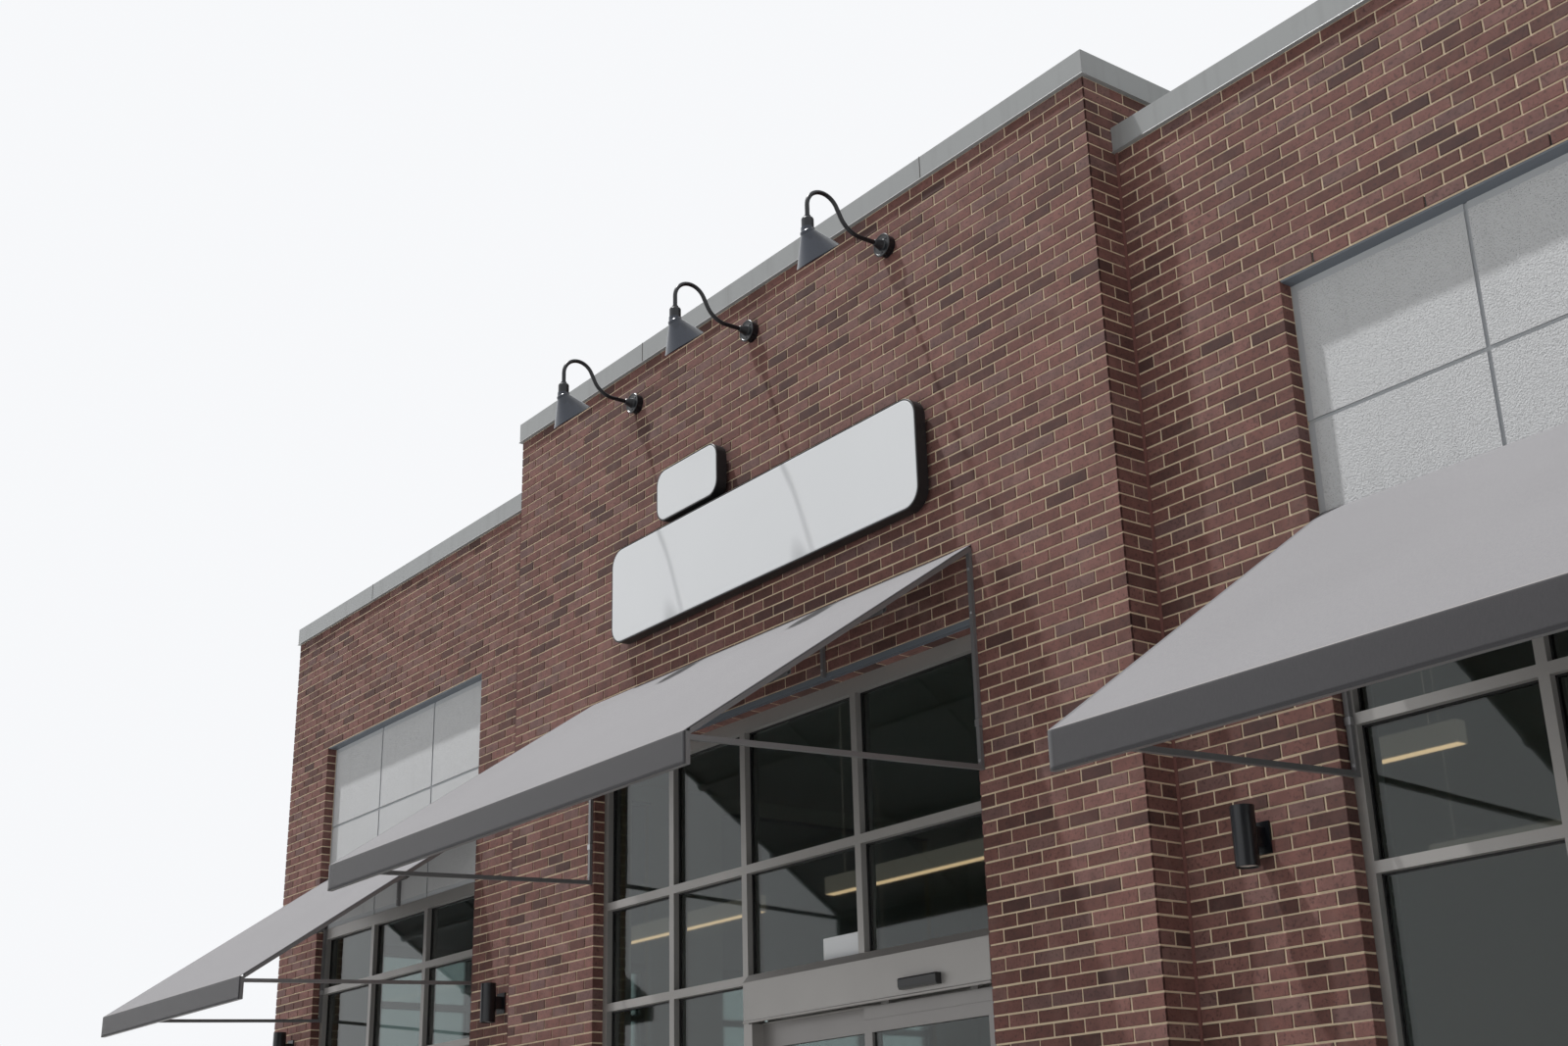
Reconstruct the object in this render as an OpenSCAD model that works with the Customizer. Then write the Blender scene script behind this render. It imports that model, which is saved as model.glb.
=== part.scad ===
// Corner shop building: a one-storey brick store with a tall entrance bay
// between two lower wings. Millimetres. X runs along the front to the right,
// Y runs into the building from the wings' brick face, Z is up from the ground.

/* [Plan] */
// Width of the tall entrance bay
entrance_w = 5975; // [5200:5:7000]
// Width of each wing
wing_w = 4570; // [4300:5:5600]
// Depth of the building, from the wings' face to the back face
building_d = 8331; // [7600:1:11000]
// How far the entrance bay stands in front of the wings
bay_projection = 203; // [120:1:280]
// Thickness of the outer walls
wall_t = 305; // [285:1:380]

/* [Levels] */
// Top of the floor slab
floor_z = 100; // [60:1:180]
// Top of the coping on the entrance bay
entrance_top = 7194; // [6950:1:8200]
// Top of the coping on the wings, the sides and the back
low_top = 6788; // [6600:1:6900]
// Top of the flat roof
roof_z = 5950; // [5850:1:6150]
// Thickness of the roof deck, with its insulation
deck_t = 300; // [200:1:340]
// How far the tall parapet runs back over the roof
return_d = 1600; // [1000:1:2600]

/* [Wall openings] */
// Set-back of frames and panels from the brick face
recess = 76; // [40:1:110]
// Width of every wing, side and back opening
bay_w = 2865; // [2500:1:3100]
// Width of the brick pier at each outer corner
corner_pier_w = 775; // [600:1:950]
// Underside of the brickwork over those openings
bay_top = 5484; // [5300:1:5560]
// Top of their window frames, where the panels begin
window_top = 3890; // [3700:1:4150]
// Top of the window sills
sill_z = 813; // [600:1:1100]
// Width of the entrance opening
entrance_open_w = 3760; // [3600:1:4300]
// Underside of the brickwork over the entrance opening
entrance_open_top = 4296; // [4120:1:4600]
// Thickness of the steel lintel plates
lintel_t = 10; // [6:1:16]

/* [Render panels] */
// Thickness of a panel
panel_t = 110; // [60:1:160]
// Width of the reveal joints
reveal_w = 20; // [10:1:40]
// Depth of the reveal joints
reveal_d = 12; // [6:1:20]
// Width of the smooth border round a rendered panel
border_w = 38; // [20:1:60]
// Depth that the border is let in
border_d = 4; // [2:1:8]
// Height of the level reveal joint
reveal_z = 4772; // [4400:1:5100]

/* [Frames and glass] */
// Face width of the frame members
frame_w = 51; // [40:1:76]
// Depth of the frame members
frame_d = 114; // [90:1:130]
// Height of the head member
head_h = 90; // [50:1:130]
// Middle of the upper transom
transom_hi = 3364; // [3250:1:3480]
// Middle of the lower transom, which runs on over the door
transom_lo = 2722; // [2700:1:2900]
// Thickness of the glass
glass_t = 25; // [10:1:30]
// Width of the door bay, from the right brick jamb to the middle of its mullion
door_bay_w = 2178; // [2050:1:2400]

/* [Sliding door] */
// Underside of the door header
door_head_z = 2472; // [2350:1:2520]
// How far the header stands in front of the frames
header_out = 38; // [20:1:70]
// Depth of the header, front to back
header_d = 178; // [174:1:210]
// Thickness of the header's metal
header_t = 6; // [4:1:8]
// Radius of the rounded nose along the header's foot
nose_r = 7; // [4:1:10]
// Width of the door's own jambs
jamb_w = 30; // [20:1:45]
// Width of the sliding leaf
leaf_w = 1044; // [960:1:1090]
// Thickness of both leaves
leaf_t = 44; // [38:1:48]
// Width of the leaves' stiles
stile_w = 64; // [45:1:90]
// Height of the top rails
top_rail_h = 134; // [90:1:180]
// Height of the bottom rails
bottom_rail_h = 200; // [120:1:260]
// Running gap round the sliding leaf
leaf_gap = 8; // [6:1:12]
// How far the sliding leaf laps over the fixed leaf when shut
leaf_lap = 35; // [20:1:60]
// Travel of the sliding leaf
leaf_travel = 980; // [800:1:980]
// Thickness of the glass in the leaves
leaf_glass_t = 10; // [6:1:16]
// Height of the threshold
threshold_h = 12; // [8:1:16]
// Radius of the hanger wheels
wheel_r = 22; // [16:1:26]

/* [Awnings] */
// Projection of every awning from what it is fixed to
awning_out = 1834; // [1500:1:2100]
// Fall of the cover from the wall to its front edge
awning_fall = 1255; // [1000:1:1400]
// Height of the valance
valance_h = 155; // [120:1:220]
// Thickness of the cover
cover_t = 4; // [2:0.5:8]
// Width of the square frame tube
tube = 25; // [20:1:32]
// Wall of the tubes that show open ends
tube_wall = 2; // [1.5:0.5:3]
// Height of the strut's wall end above the valance's top
strut_rise = 62; // [40:1:120]
// Top of each awning above the top of the frames it shades
awning_rise = 438; // [300:1:560]
// How far the entrance awning runs past its opening at each side
entrance_awning_lap = 40; // [30:1:120]
// Gap between a wing awning and the brick jambs
wing_awning_gap = 14; // [8:1:30]

/* [Sign lamps] */
// Distance between the lamps
lamp_pitch = 1362; // [1100:1:1700]
// Middle of the wall plates below the top of the coping
lamp_below = 437; // [360:1:700]
// Reach from the wall to the middle of the shade
lamp_reach = 600; // [520:1:800]
// Radius of the arm's tube
arm_r = 13.5; // [9:0.5:16]
// Radius of the shade at the middle of its mouth
shade_r = 141; // [110:1:170]
// Depth of the shade, from its neck to the middle of its mouth
shade_h = 170; // [140:1:200]
// Tilt of the shade towards the sign
shade_tilt = 31.5; // [0:0.5:36]
// Tilt of the shade's mouth, which is cut off at a steeper slant
mouth_tilt = 38.7; // [0:0.1:44]
// Thickness of the shade
shade_t = 3; // [2:0.5:5]

/* [Wall lights] */
// Height of the middle of the wall lights
sconce_z = 2922; // [2000:1:3050]
// Radius of the wall lights
sconce_r = 54; // [40:1:70]
// Height of the wall lights
sconce_h = 270; // [200:1:340]
// Distance from the wall to the middle of a wall light
sconce_out = 112; // [100:1:140]

/* [Coping] */
// Height of the coping's face
coping_h = 150; // [100:1:200]
// Thickness of the coping over the wall
coping_t = 30; // [24:1:50]
// Overhang of the coping past the brick
coping_lip = 22; // [12:1:40]
// Fall of the coping towards the roof
coping_fall = 14; // [0:1:20]

/* [Hidden] */
// Sheet and tube ends stop this far from each other, as real joints do
fit = 0.3;
// Turned-out drip edge at the foot of the coping, and its height
drip = 7;
drip_h = 10;
// Set-back of the lintel plates from the brick face
lintel_back = 3;
// Glazing with no frame bar of its own on one side
no_bar = 0.1;
$fn = 48;

// Plan positions that several pieces share
ent_x = entrance_w / 2;
end_x = ent_x + wing_w;
ent_y = -bay_projection;
bay_x0 = end_x - corner_pier_w - bay_w;
bay_x1 = end_x - corner_pier_w;
side_pier_w = (building_d - 2 * bay_w) / 3;
ent_wall_top = entrance_top - coping_t;
low_wall_top = low_top - coping_t;

// A box from its low corner to its high corner
module span(a, b) translate(a) cube(b - a);

// Runs its children for the left side (-1) and the right side (1)
module both() for (s = [-1, 1]) scale_x(s) children();
module scale_x(s) if (s < 0) mirror([1, 0, 0]) children(); else children();

// Places a bay, drawn from the left foot of its opening with Y into the wall
module on_left_wing() translate([-bay_x1, 0, 0]) children();
module on_right_wing() translate([bay_x0, 0, 0]) children();
module on_sides() for (k = [0, 1]) {
    y0 = side_pier_w + k * (side_pier_w + bay_w);
    translate([end_x, y0, 0]) rotate([0, 0, 90]) children();
    translate([-end_x, y0 + bay_w, 0]) rotate([0, 0, -90]) children();
}
module on_back() for (x = [-bay_x0, bay_x1])
    translate([x, building_d, 0]) rotate([0, 0, 180]) children();
module on_side_and_back() { on_sides() children(); on_back() children(); }
module on_every_bay() {
    on_left_wing() children();
    on_right_wing() children();
    on_side_and_back() children();
}

// Floor, roof and brick walls

module floor_slab() color("silver") {
    linear_extrude(floor_z) union() {
        translate([-end_x + wall_t, wall_t])
            square([2 * (end_x - wall_t), building_d - 2 * wall_t]);
        translate([-ent_x, ent_y + wall_t])
            square([entrance_w, bay_projection]);
        translate([-entrance_open_w / 2, ent_y])
            square([entrance_open_w, wall_t]);
    }
}

module roof_deck() color("whitesmoke") {
    translate([0, 0, roof_z - deck_t]) linear_extrude(deck_t) union() {
        translate([-end_x + wall_t, wall_t])
            square([2 * (end_x - wall_t), building_d - 2 * wall_t]);
        translate([-ent_x, ent_y + wall_t])
            square([entrance_w, bay_projection]);
    }
}

module entrance_piers() color("firebrick") both()
    span([entrance_open_w / 2, ent_y, 0], [ent_x, ent_y + wall_t, entrance_open_top]);

module entrance_head() color("brown")
    span([-ent_x, ent_y, entrance_open_top], [ent_x, ent_y + wall_t, ent_wall_top]);

module entrance_returns() color("brown") both()
    span([ent_x - wall_t, ent_y + wall_t, roof_z], [ent_x, return_d, ent_wall_top]);

module wing_piers() {
    span([ent_x, 0, 0], [bay_x0, wall_t, bay_top]);
    span([bay_x1, 0, 0], [end_x, wall_t, bay_top]);
}
module wing_head() span([ent_x, 0, bay_top], [end_x, wall_t, low_wall_top]);

module left_wing_piers() color("firebrick") scale_x(-1) wing_piers();
module left_wing_head() color("brown") scale_x(-1) wing_head();
module right_wing_piers() color("firebrick") wing_piers();
module right_wing_head() color("brown") wing_head();

module side_piers() color("firebrick") both() {
    span([end_x - wall_t, wall_t, 0], [end_x, side_pier_w, bay_top]);
    span([end_x - wall_t, side_pier_w + bay_w, 0],
         [end_x, building_d - side_pier_w - bay_w, bay_top]);
    span([end_x - wall_t, building_d - side_pier_w, 0],
         [end_x, building_d - wall_t, bay_top]);
}

module side_heads() color("brown") both()
    span([end_x - wall_t, wall_t, bay_top],
         [end_x, building_d - wall_t, low_wall_top]);

module back_piers() color("firebrick") {
    span([-bay_x0, building_d - wall_t, 0], [bay_x0, building_d, bay_top]);
    both() span([bay_x1, building_d - wall_t, 0], [end_x, building_d, bay_top]);
}

module back_head() color("brown")
    span([-end_x, building_d - wall_t, bay_top], [end_x, building_d, low_wall_top]);

// Brickwork below each window, up to its sill
sill_t = 70;
module window_aprons() color("firebrick")
    on_every_bay() span([0, 0, 0], [bay_w, wall_t, sill_z - sill_t]);

// Steel plates that carry the brickwork over the openings
module steel_lintels() color("dimgray") {
    on_every_bay() span([0, lintel_back, bay_top - lintel_t], [bay_w, wall_t, bay_top]);
    span([-entrance_open_w / 2, ent_y + lintel_back, entrance_open_top - lintel_t],
         [entrance_open_w / 2, ent_y + wall_t, entrance_open_top]);
}

// Cast sills with a sloped top and a drip groove
sill_out = 30;
sill_fall = 12;
groove_y0 = -18;
groove_y1 = -8;
groove_h = 8;
module window_sills() color("lightgray") on_every_bay()
    translate([0, 0, sill_z]) rotate([90, 0, 90]) linear_extrude(bay_w)
        polygon([[-sill_out, -sill_t], [-sill_out, -sill_fall], [recess, 0], [wall_t, 0],
                 [wall_t, -sill_t], [groove_y1, -sill_t], [groove_y1, -sill_t + groove_h],
                 [groove_y0, -sill_t + groove_h], [groove_y0, -sill_t]]);

// Folded metal coping over a wall of the given length; a mitred end turns a corner
module coping_run(len, mitre0, mitre1) {
    out = coping_lip + drip;
    in = wall_t + coping_lip + drip;
    intersection() {
        translate([-out, 0, 0]) rotate([90, 0, 90]) linear_extrude(len + 2 * out)
            polygon([[-out, -coping_h], [-coping_lip, -coping_h + drip_h],
                     [-coping_lip, 0], [wall_t + coping_lip, -coping_fall],
                     [wall_t + coping_lip, -coping_h + drip_h], [in, -coping_h],
                     [wall_t, -coping_h], [wall_t, -coping_t],
                     [0, -coping_t], [0, -coping_h]]);
        translate([0, 0, -coping_h]) linear_extrude(coping_h)
            polygon([[mitre0 ? -out + fit : 0, -out], [mitre0 ? in + fit : 0, in],
                     [mitre1 ? len - in - fit : len, in],
                     [mitre1 ? len + out - fit : len, -out]]);
    }
}

module entrance_coping() color("gainsboro") translate([0, 0, entrance_top]) {
    translate([-ent_x, ent_y, 0]) coping_run(entrance_w, true, true);
    translate([ent_x, ent_y, 0]) rotate([0, 0, 90])
        coping_run(return_d + bay_projection, true, false);
    translate([-ent_x, return_d, 0]) rotate([0, 0, -90])
        coping_run(return_d + bay_projection, false, true);
}

module low_coping() color("gainsboro") translate([0, 0, low_top]) {
    translate([ent_x, 0, 0]) coping_run(wing_w, false, true);
    translate([-end_x, 0, 0]) coping_run(wing_w, true, false);
    translate([end_x, 0, 0]) rotate([0, 0, 90]) coping_run(building_d, true, true);
    translate([-end_x, building_d, 0]) rotate([0, 0, -90])
        coping_run(building_d, true, true);
    translate([end_x, building_d, 0]) rotate([0, 0, 180])
        coping_run(2 * end_x, true, true);
}

// Rendered panel over a window, with a stepped border, two upright reveals and one
// level reveal
module bay_panel() difference() {
    top = bay_top - lintel_t;
    span([0, recess, window_top], [bay_w, recess + panel_t, top]);
    difference() {
        span([-1, recess - 1, window_top - 1], [bay_w + 1, recess + border_d, top + 1]);
        span([border_w, recess - 2, window_top + border_w],
             [bay_w - border_w, recess + border_d + 1, top - border_w]);
    }
    for (k = [1, 2])
        span([k * bay_w / 3 - reveal_w / 2, recess - 1, window_top - 1],
             [k * bay_w / 3 + reveal_w / 2, recess + reveal_d, bay_top]);
    span([-1, recess - 1, reveal_z - reveal_w / 2],
         [bay_w + 1, recess + reveal_d, reveal_z + reveal_w / 2]);
}
module left_wing_panel() color("lightyellow") on_left_wing() bay_panel();
module right_wing_panel() color("lightyellow") on_right_wing() bay_panel();
module side_and_back_panels() color("lightyellow") on_side_and_back() bay_panel();

// Window frames and glass

// Frame grid between x0..x1 and z0..z1: xs and zs are the middles of its bars.
// One sheet of glass runs between the front bars and the back bars.
module frame_grid(x0, x1, z0, z1, xs, zs, head, foot, left, right) {
    gy = (frame_d - glass_t) / 2;
    difference() {
        span([x0, 0, z0], [x1, frame_d, z1]);
        span([x0 + left, -1, z0 + foot], [x1 - right, frame_d + 1, z1 - head]);
    }
    difference() {
        union() {
            for (x = xs) span([x - frame_w / 2, 0, z0 + foot / 2],
                              [x + frame_w / 2, frame_d, z1 - head / 2]);
            for (z = zs) span([x0 + left / 2, 0, z - frame_w / 2],
                              [x1 - right / 2, frame_d, z + frame_w / 2]);
        }
        span([x0 + left, gy, z0 + foot], [x1 - right, gy + glass_t, z1 - head]);
    }
}
module grid_glass(x0, x1, z0, z1, head, foot, left, right) {
    gy = (frame_d - glass_t) / 2;
    span([x0 + left, gy, z0 + foot], [x1 - right, gy + glass_t, z1 - head]);
}

module bay_frame() translate([0, recess, 0])
    frame_grid(0, bay_w, sill_z, window_top,
               [bay_w / 3, 2 * bay_w / 3], [transom_lo, transom_hi],
               head_h, frame_w, frame_w, frame_w);
module bay_glass() translate([0, recess, 0])
    grid_glass(0, bay_w, sill_z, window_top, head_h, frame_w, frame_w, frame_w);

module wing_window_frames() color("silver") {
    on_left_wing() bay_frame();
    on_right_wing() bay_frame();
}
module side_and_back_frames() color("silver") on_side_and_back() bay_frame();
module wing_window_glass() color("lightblue") {
    on_left_wing() bay_glass();
    on_right_wing() bay_glass();
}
module side_and_back_glass() color("lightblue") on_side_and_back() bay_glass();

// Entrance screen: two lights beside the door bay, two lights over the door
scr_x = entrance_open_w / 2;
scr_y = ent_y + recess;
scr_top = entrance_open_top - lintel_t;
mull_x = scr_x - door_bay_w;
door_x0 = mull_x + frame_w / 2;
door_x1 = scr_x - frame_w;
over_z0 = transom_lo - frame_w / 2;

module side_screen_frame() color("silver") translate([0, scr_y, 0])
    frame_grid(-scr_x, door_x0, floor_z, scr_top,
               [(-scr_x + frame_w / 2 + mull_x) / 2], [transom_lo, transom_hi],
               head_h, frame_w, frame_w, frame_w);
module over_door_frame() color("silver") translate([0, scr_y, 0])
    frame_grid(door_x0 + fit, scr_x, over_z0, scr_top,
               [(mull_x + scr_x - frame_w / 2) / 2], [transom_hi],
               head_h, frame_w, no_bar, frame_w);
module door_jambs() color("silver") translate([0, scr_y, 0]) {
    span([door_x1, 0, floor_z], [scr_x, frame_d, over_z0 - fit]);
    for (x = [door_x0, door_x1 - jamb_w])
        span([x + fit, 0, floor_z], [x + jamb_w - fit, frame_d, door_head_z]);
}
module storefront_glass() color("lightblue") translate([0, scr_y, 0]) {
    grid_glass(-scr_x, door_x0, floor_z, scr_top, head_h, frame_w, frame_w, frame_w);
    grid_glass(door_x0 + fit, scr_x, over_z0, scr_top, head_h, frame_w, no_bar,
               frame_w);
}

// Sliding door: header with its track, fixed leaf, sliding leaf

header_y0 = scr_y - header_out;
header_y1 = header_y0 + header_d;
// The sliding leaf runs in front of the fixed leaf, both behind the frames' front
leaf_set = 27;
leaf_clear = 12;
leaf_y0 = scr_y + leaf_set;
fixed_y0 = leaf_y0 + leaf_t + leaf_clear;
leaf_x1 = door_x1 - jamb_w - leaf_gap;
leaf_x0 = leaf_x1 - leaf_w;
leaf_z0 = floor_z + threshold_h + leaf_gap;
leaf_z1 = door_head_z - leaf_gap;
// Top of the track, its front, and the sizes of the track and its web
track_z = door_head_z + 88;
track_y0 = leaf_y0 + 24;
track_w = 16;
track_h = 12;
web_h = 8;
// Foot of the header's sloped top
brow_h = 6;

// Header box with a rounded nose along its foot, open below in front of the fixed leaf,
// with the track on its back
module door_header() color("silver") translate([door_x0, 0, 0]) rotate([90, 0, 90]) {
    t = header_t;
    len = door_x1 - door_x0;
    difference() {
        union() {
            linear_extrude(len) polygon([
                [header_y0, door_head_z], [header_y0, over_z0 + brow_h],
                [scr_y - fit, over_z0 + frame_w], [scr_y - fit, over_z0 - fit],
                [header_y1, over_z0 - fit], [header_y1, door_head_z]]);
            translate([header_y0 + 1, door_head_z + nose_r + 1, 0])
                cylinder(r = nose_r, h = len);
        }
        // Room for the gear, and the slot that the sliding leaf hangs through
        translate([header_y0 + t, door_head_z + t, -1])
            cube([header_y1 - header_y0 - 2 * t, over_z0 - door_head_z - 2 * t, len + 2]);
        translate([header_y0 + t, door_head_z - 1, -1])
            cube([fixed_y0 - leaf_gap - header_y0 - t, t + 2, len + 2]);
    }
    // Track on its web
    translate([track_y0, track_z - track_h, 0]) cube([track_w, track_h, len]);
    translate([track_y0 + track_w - 1, track_z - track_h, 0])
        cube([header_y1 - t / 2 - track_y0 - track_w + 1, web_h, len]);
}

// Sensor on the header's face, its lower front edge cut off towards the ground
sensor_w = 300;
sensor_h = 58;
sensor_d = 40;
sensor_rise = 36;
sensor_x = (leaf_x0 + leaf_x1) / 2 + 40;
module door_sensor() color("black")
    translate([sensor_x - sensor_w / 2, header_y0 - sensor_d, door_head_z + sensor_rise])
    rotate([90, 0, 90]) linear_extrude(sensor_w)
    polygon([[0, 14], [8, 0], [sensor_d, 0], [sensor_d, sensor_h], [6, sensor_h],
             [0, sensor_h - 8]]);

// Threshold with two ramps and a row of grip grooves
threshold_out = 10;
ramp_edge = 2;
grip_w = 5;
grip_d = 2;
grip_pitch = 16;
module door_threshold() color("gray")
    translate([door_x0 + jamb_w, scr_y - threshold_out, floor_z]) rotate([90, 0, 90])
    linear_extrude(door_x1 - door_x0 - 2 * jamb_w) {
        deep = header_y1 - scr_y + threshold_out;
        ramp = 2 * threshold_h;
        difference() {
            polygon([[0, 0], [deep, 0], [deep, ramp_edge], [deep - ramp, threshold_h],
                     [ramp, threshold_h], [0, ramp_edge]]);
            for (y = [ramp + grip_pitch / 2 : grip_pitch : deep - ramp - grip_pitch / 2])
                translate([y, threshold_h - grip_d]) square([grip_w, grip_d + 1]);
        }
    }

// A leaf's frame, from its low left front corner
module leaf_frame(w, h) difference() {
    cube([w, leaf_t, h]);
    span([stile_w, -1, bottom_rail_h], [w - stile_w, leaf_t + 1, h - top_rail_h]);
}
module leaf_pane(w, h)
    span([stile_w, (leaf_t - leaf_glass_t) / 2, bottom_rail_h],
         [w - stile_w, (leaf_t + leaf_glass_t) / 2, h - top_rail_h]);

fixed_x0 = door_x0 + jamb_w;
fixed_w = leaf_x0 + leaf_lap - fixed_x0;
fixed_z0 = floor_z + threshold_h;
module fixed_leaf() color("darkgray") translate([fixed_x0, fixed_y0, fixed_z0])
    leaf_frame(fixed_w, door_head_z - fixed_z0);
module fixed_leaf_glass() color("lightblue") translate([fixed_x0, fixed_y0, fixed_z0])
    leaf_pane(fixed_w, door_head_z - fixed_z0);

// Each hanger is a plate with a plain wheel that runs on the track
hanger_w = 60;
hanger_t = 8;
hanger_in = 170;
module hanger(x) {
    py = track_y0 - leaf_gap - hanger_t;
    wz = track_z + fit + wheel_r;
    span([x - hanger_w / 2, py, leaf_z1 - 1], [x + hanger_w / 2, py + hanger_t, wz + 12]);
    translate([x, py + hanger_t / 2, wz]) rotate([-90, 0, 0])
        cylinder(r = wheel_r, h = track_y0 + track_w - py - 2);
}
clip_h = 4;
clip_d = 3;
module sliding_leaf() color("slategray") {
    // The top rail carries a groove where its cover clips on
    difference() {
        translate([leaf_x0, leaf_y0, leaf_z0]) leaf_frame(leaf_w, leaf_z1 - leaf_z0);
        span([leaf_x0 - 1, leaf_y0 - 1, leaf_z1 - (top_rail_h + clip_h) / 2],
             [leaf_x1 + 1, leaf_y0 + clip_d, leaf_z1 - (top_rail_h - clip_h) / 2]);
    }
    hanger(leaf_x0 + hanger_in);
    hanger(leaf_x1 - hanger_in);
}
module sliding_leaf_glass() color("lightblue")
    translate([leaf_x0, leaf_y0, leaf_z0]) leaf_pane(leaf_w, leaf_z1 - leaf_z0);

// Awnings: square tube frames under a taut cover.
// Profiles are drawn as [distance out from the wall, height below the top].

slope = awning_fall / awning_out;
cover_v = cover_t * sqrt(1 + slope * slope);
tube_v = tube * sqrt(1 + slope * slope);
// Underside of the cover at a distance p from the wall
function under(p) = -cover_v - fit - slope * p;
bar_p = awning_out - cover_t - fit - tube;
strut_z = -awning_fall + strut_rise;

// A profile made solid, len wide, starting at x
module awning_part(x, len, pts) translate([x, 0, 0]) rotate([90, 0, -90])
    translate([0, 0, -len]) linear_extrude(len) polygon(pts);

// Section of a purlin whose top starts at [p, z], let in by t all round
function purlin_section(p, z, t) = let (v = t * sqrt(1 + slope * slope))
    [for (c = [[t, -v], [tube - t, -v], [tube - t, v - tube], [t, v - tube]])
        [p + c[0], z - slope * c[0] + c[1]]];

module awning_cover(w) awning_part(-w / 2, w,
    [[0, 0], [awning_out, -awning_fall], [awning_out, -awning_fall - valance_h],
     [awning_out - cover_t, -awning_fall - valance_h],
     [awning_out - cover_t, under(awning_out - cover_t) + fit],
     [0, -cover_v]]);

module awning_frame(w, rafters, post_foot) {
    bay = (w - tube) / (rafters - 1);
    wall_z = under(tube);
    front_z = under(awning_out - cover_t - fit);
    low_z = -awning_fall - valance_h;
    // Bars along the wall, the front edge and the foot of the valance
    awning_part(-w / 2, w, [[0, wall_z], [tube, wall_z],
                            [tube, wall_z - tube], [0, wall_z - tube]]);
    awning_part(-w / 2, w, [[bar_p, front_z], [bar_p + tube, front_z],
                            [bar_p + tube, front_z - tube], [bar_p, front_z - tube]]);
    awning_part(-w / 2, w, [[bar_p, low_z + tube], [bar_p + tube, low_z + tube],
                            [bar_p + tube, low_z], [bar_p, low_z]]);
    // Two purlins that cross under the rafters, open at their ends
    for (k = [1, 2]) difference() {
        p = k * awning_out / 3;
        z = under(p) - tube_v - fit;
        awning_part(-w / 2, w, purlin_section(p, z, 0));
        awning_part(-w / 2 - 1, w + 2, purlin_section(p, z, tube_wall));
    }
    for (k = [0 : rafters - 1]) {
        x = -w / 2 + k * bay;
        p0 = tube + fit;
        p1 = bar_p - fit;
        outer = k == 0 || k == rafters - 1;
        awning_part(x, tube, [[p0, under(p0)], [p1, under(p1)],
                              [p1, under(p1) - tube_v], [p0, under(p0) - tube_v]]);
        // Wall post; the outer ones reach down to the struts
        foot = outer ? strut_z - tube : post_foot;
        awning_part(x, tube, [[0, wall_z - tube - fit], [tube, wall_z - tube - fit],
                              [tube, foot], [0, foot]]);
        // Short upright in the valance
        awning_part(x, tube, [[bar_p, front_z - tube - fit],
                              [bar_p + tube, front_z - tube - fit],
                              [bar_p + tube, low_z + tube + fit],
                              [bar_p, low_z + tube + fit]]);
        // Strut from the foot of the wall post to the front
        if (outer) awning_part(x, tube,
            [[p0, strut_z], [p1, under(p1) - tube_v - fit],
             [p1, under(p1) - tube_v - fit - tube], [p0, strut_z - tube]]);
    }
}

// The entrance awning's posts end on the brick, this far above the opening
post_clear = 12;
entrance_awning_top = entrance_open_top + awning_rise;
wing_awning_top = window_top + awning_rise;
entrance_awning_w = entrance_open_w + 2 * entrance_awning_lap;
wing_awning_w = bay_w - 2 * wing_awning_gap;
bay_mid = (bay_x0 + bay_x1) / 2;
module at_entrance_awning() translate([0, ent_y, entrance_awning_top]) children();
module at_wing_awning(s) translate([s * bay_mid, recess, wing_awning_top]) children();

module entrance_awning_frame() color("darkgray") at_entrance_awning()
    awning_frame(entrance_awning_w, 4, entrance_open_top + post_clear - entrance_awning_top);
module entrance_awning_cover() color("gray") at_entrance_awning()
    awning_cover(entrance_awning_w);
module left_awning_frame() color("darkgray") at_wing_awning(-1)
    awning_frame(wing_awning_w, 3, window_top - wing_awning_top);
module left_awning_cover() color("gray") at_wing_awning(-1)
    awning_cover(wing_awning_w);
module right_awning_frame() color("darkgray") at_wing_awning(1)
    awning_frame(wing_awning_w, 3, window_top - wing_awning_top);
module right_awning_cover() color("gray") at_wing_awning(1)
    awning_cover(wing_awning_w);

// Gooseneck lamps over the sign.
// A round box with a rimmed cover holds a hub. The arm leaves it level, turns up by
// arm_a, runs straight, and turns over the top and down into the socket.

lamp_z = entrance_top - lamp_below;
// Wall box, cover, plug and hub; the arm's two bends with the straight between them
// and the drop after them; the socket and its collar; the bulb
box_r = 66;
box_d = 48;
cover_r = 72;
cover_d = 9;
plug_r = 13;
hub_r = 32;
hub_d = 112;
arm_a = 63;
arm_r1 = 165;
arm_mid = 58;
arm_r2 = 114;
arm_drop = 72;
socket_r = 36;
socket_h = 92;
collar_r = 20;
bulb_r = 30;
bulb_neck_r = 14;
// Length of the level part of the arm
arm_len = lamp_reach - hub_d - arm_r1 * sin(arm_a) - arm_mid * cos(arm_a)
          - arm_r2 * (1 + sin(arm_a));
// Middles of the bends and ends of the straight between them, as [out, up]
c1 = [hub_d + arm_len, arm_r1];
e1 = c1 + arm_r1 * [sin(arm_a), -cos(arm_a)];
e2 = e1 + arm_mid * [cos(arm_a), sin(arm_a)];
c2 = e2 + arm_r2 * [sin(arm_a), -cos(arm_a)];
socket_z = c2[1] - arm_drop;

// Bend of the arm about a centre [out, up], from the angle a over the angle da
module bend(c, r, tube_r, a, da) translate([0, -c[0], c[1]]) rotate([90, 0, -90])
    rotate([0, 0, a]) rotate_extrude(angle = da, $fn = 40) translate([r, 0])
    circle(tube_r, $fn = 14);

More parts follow.
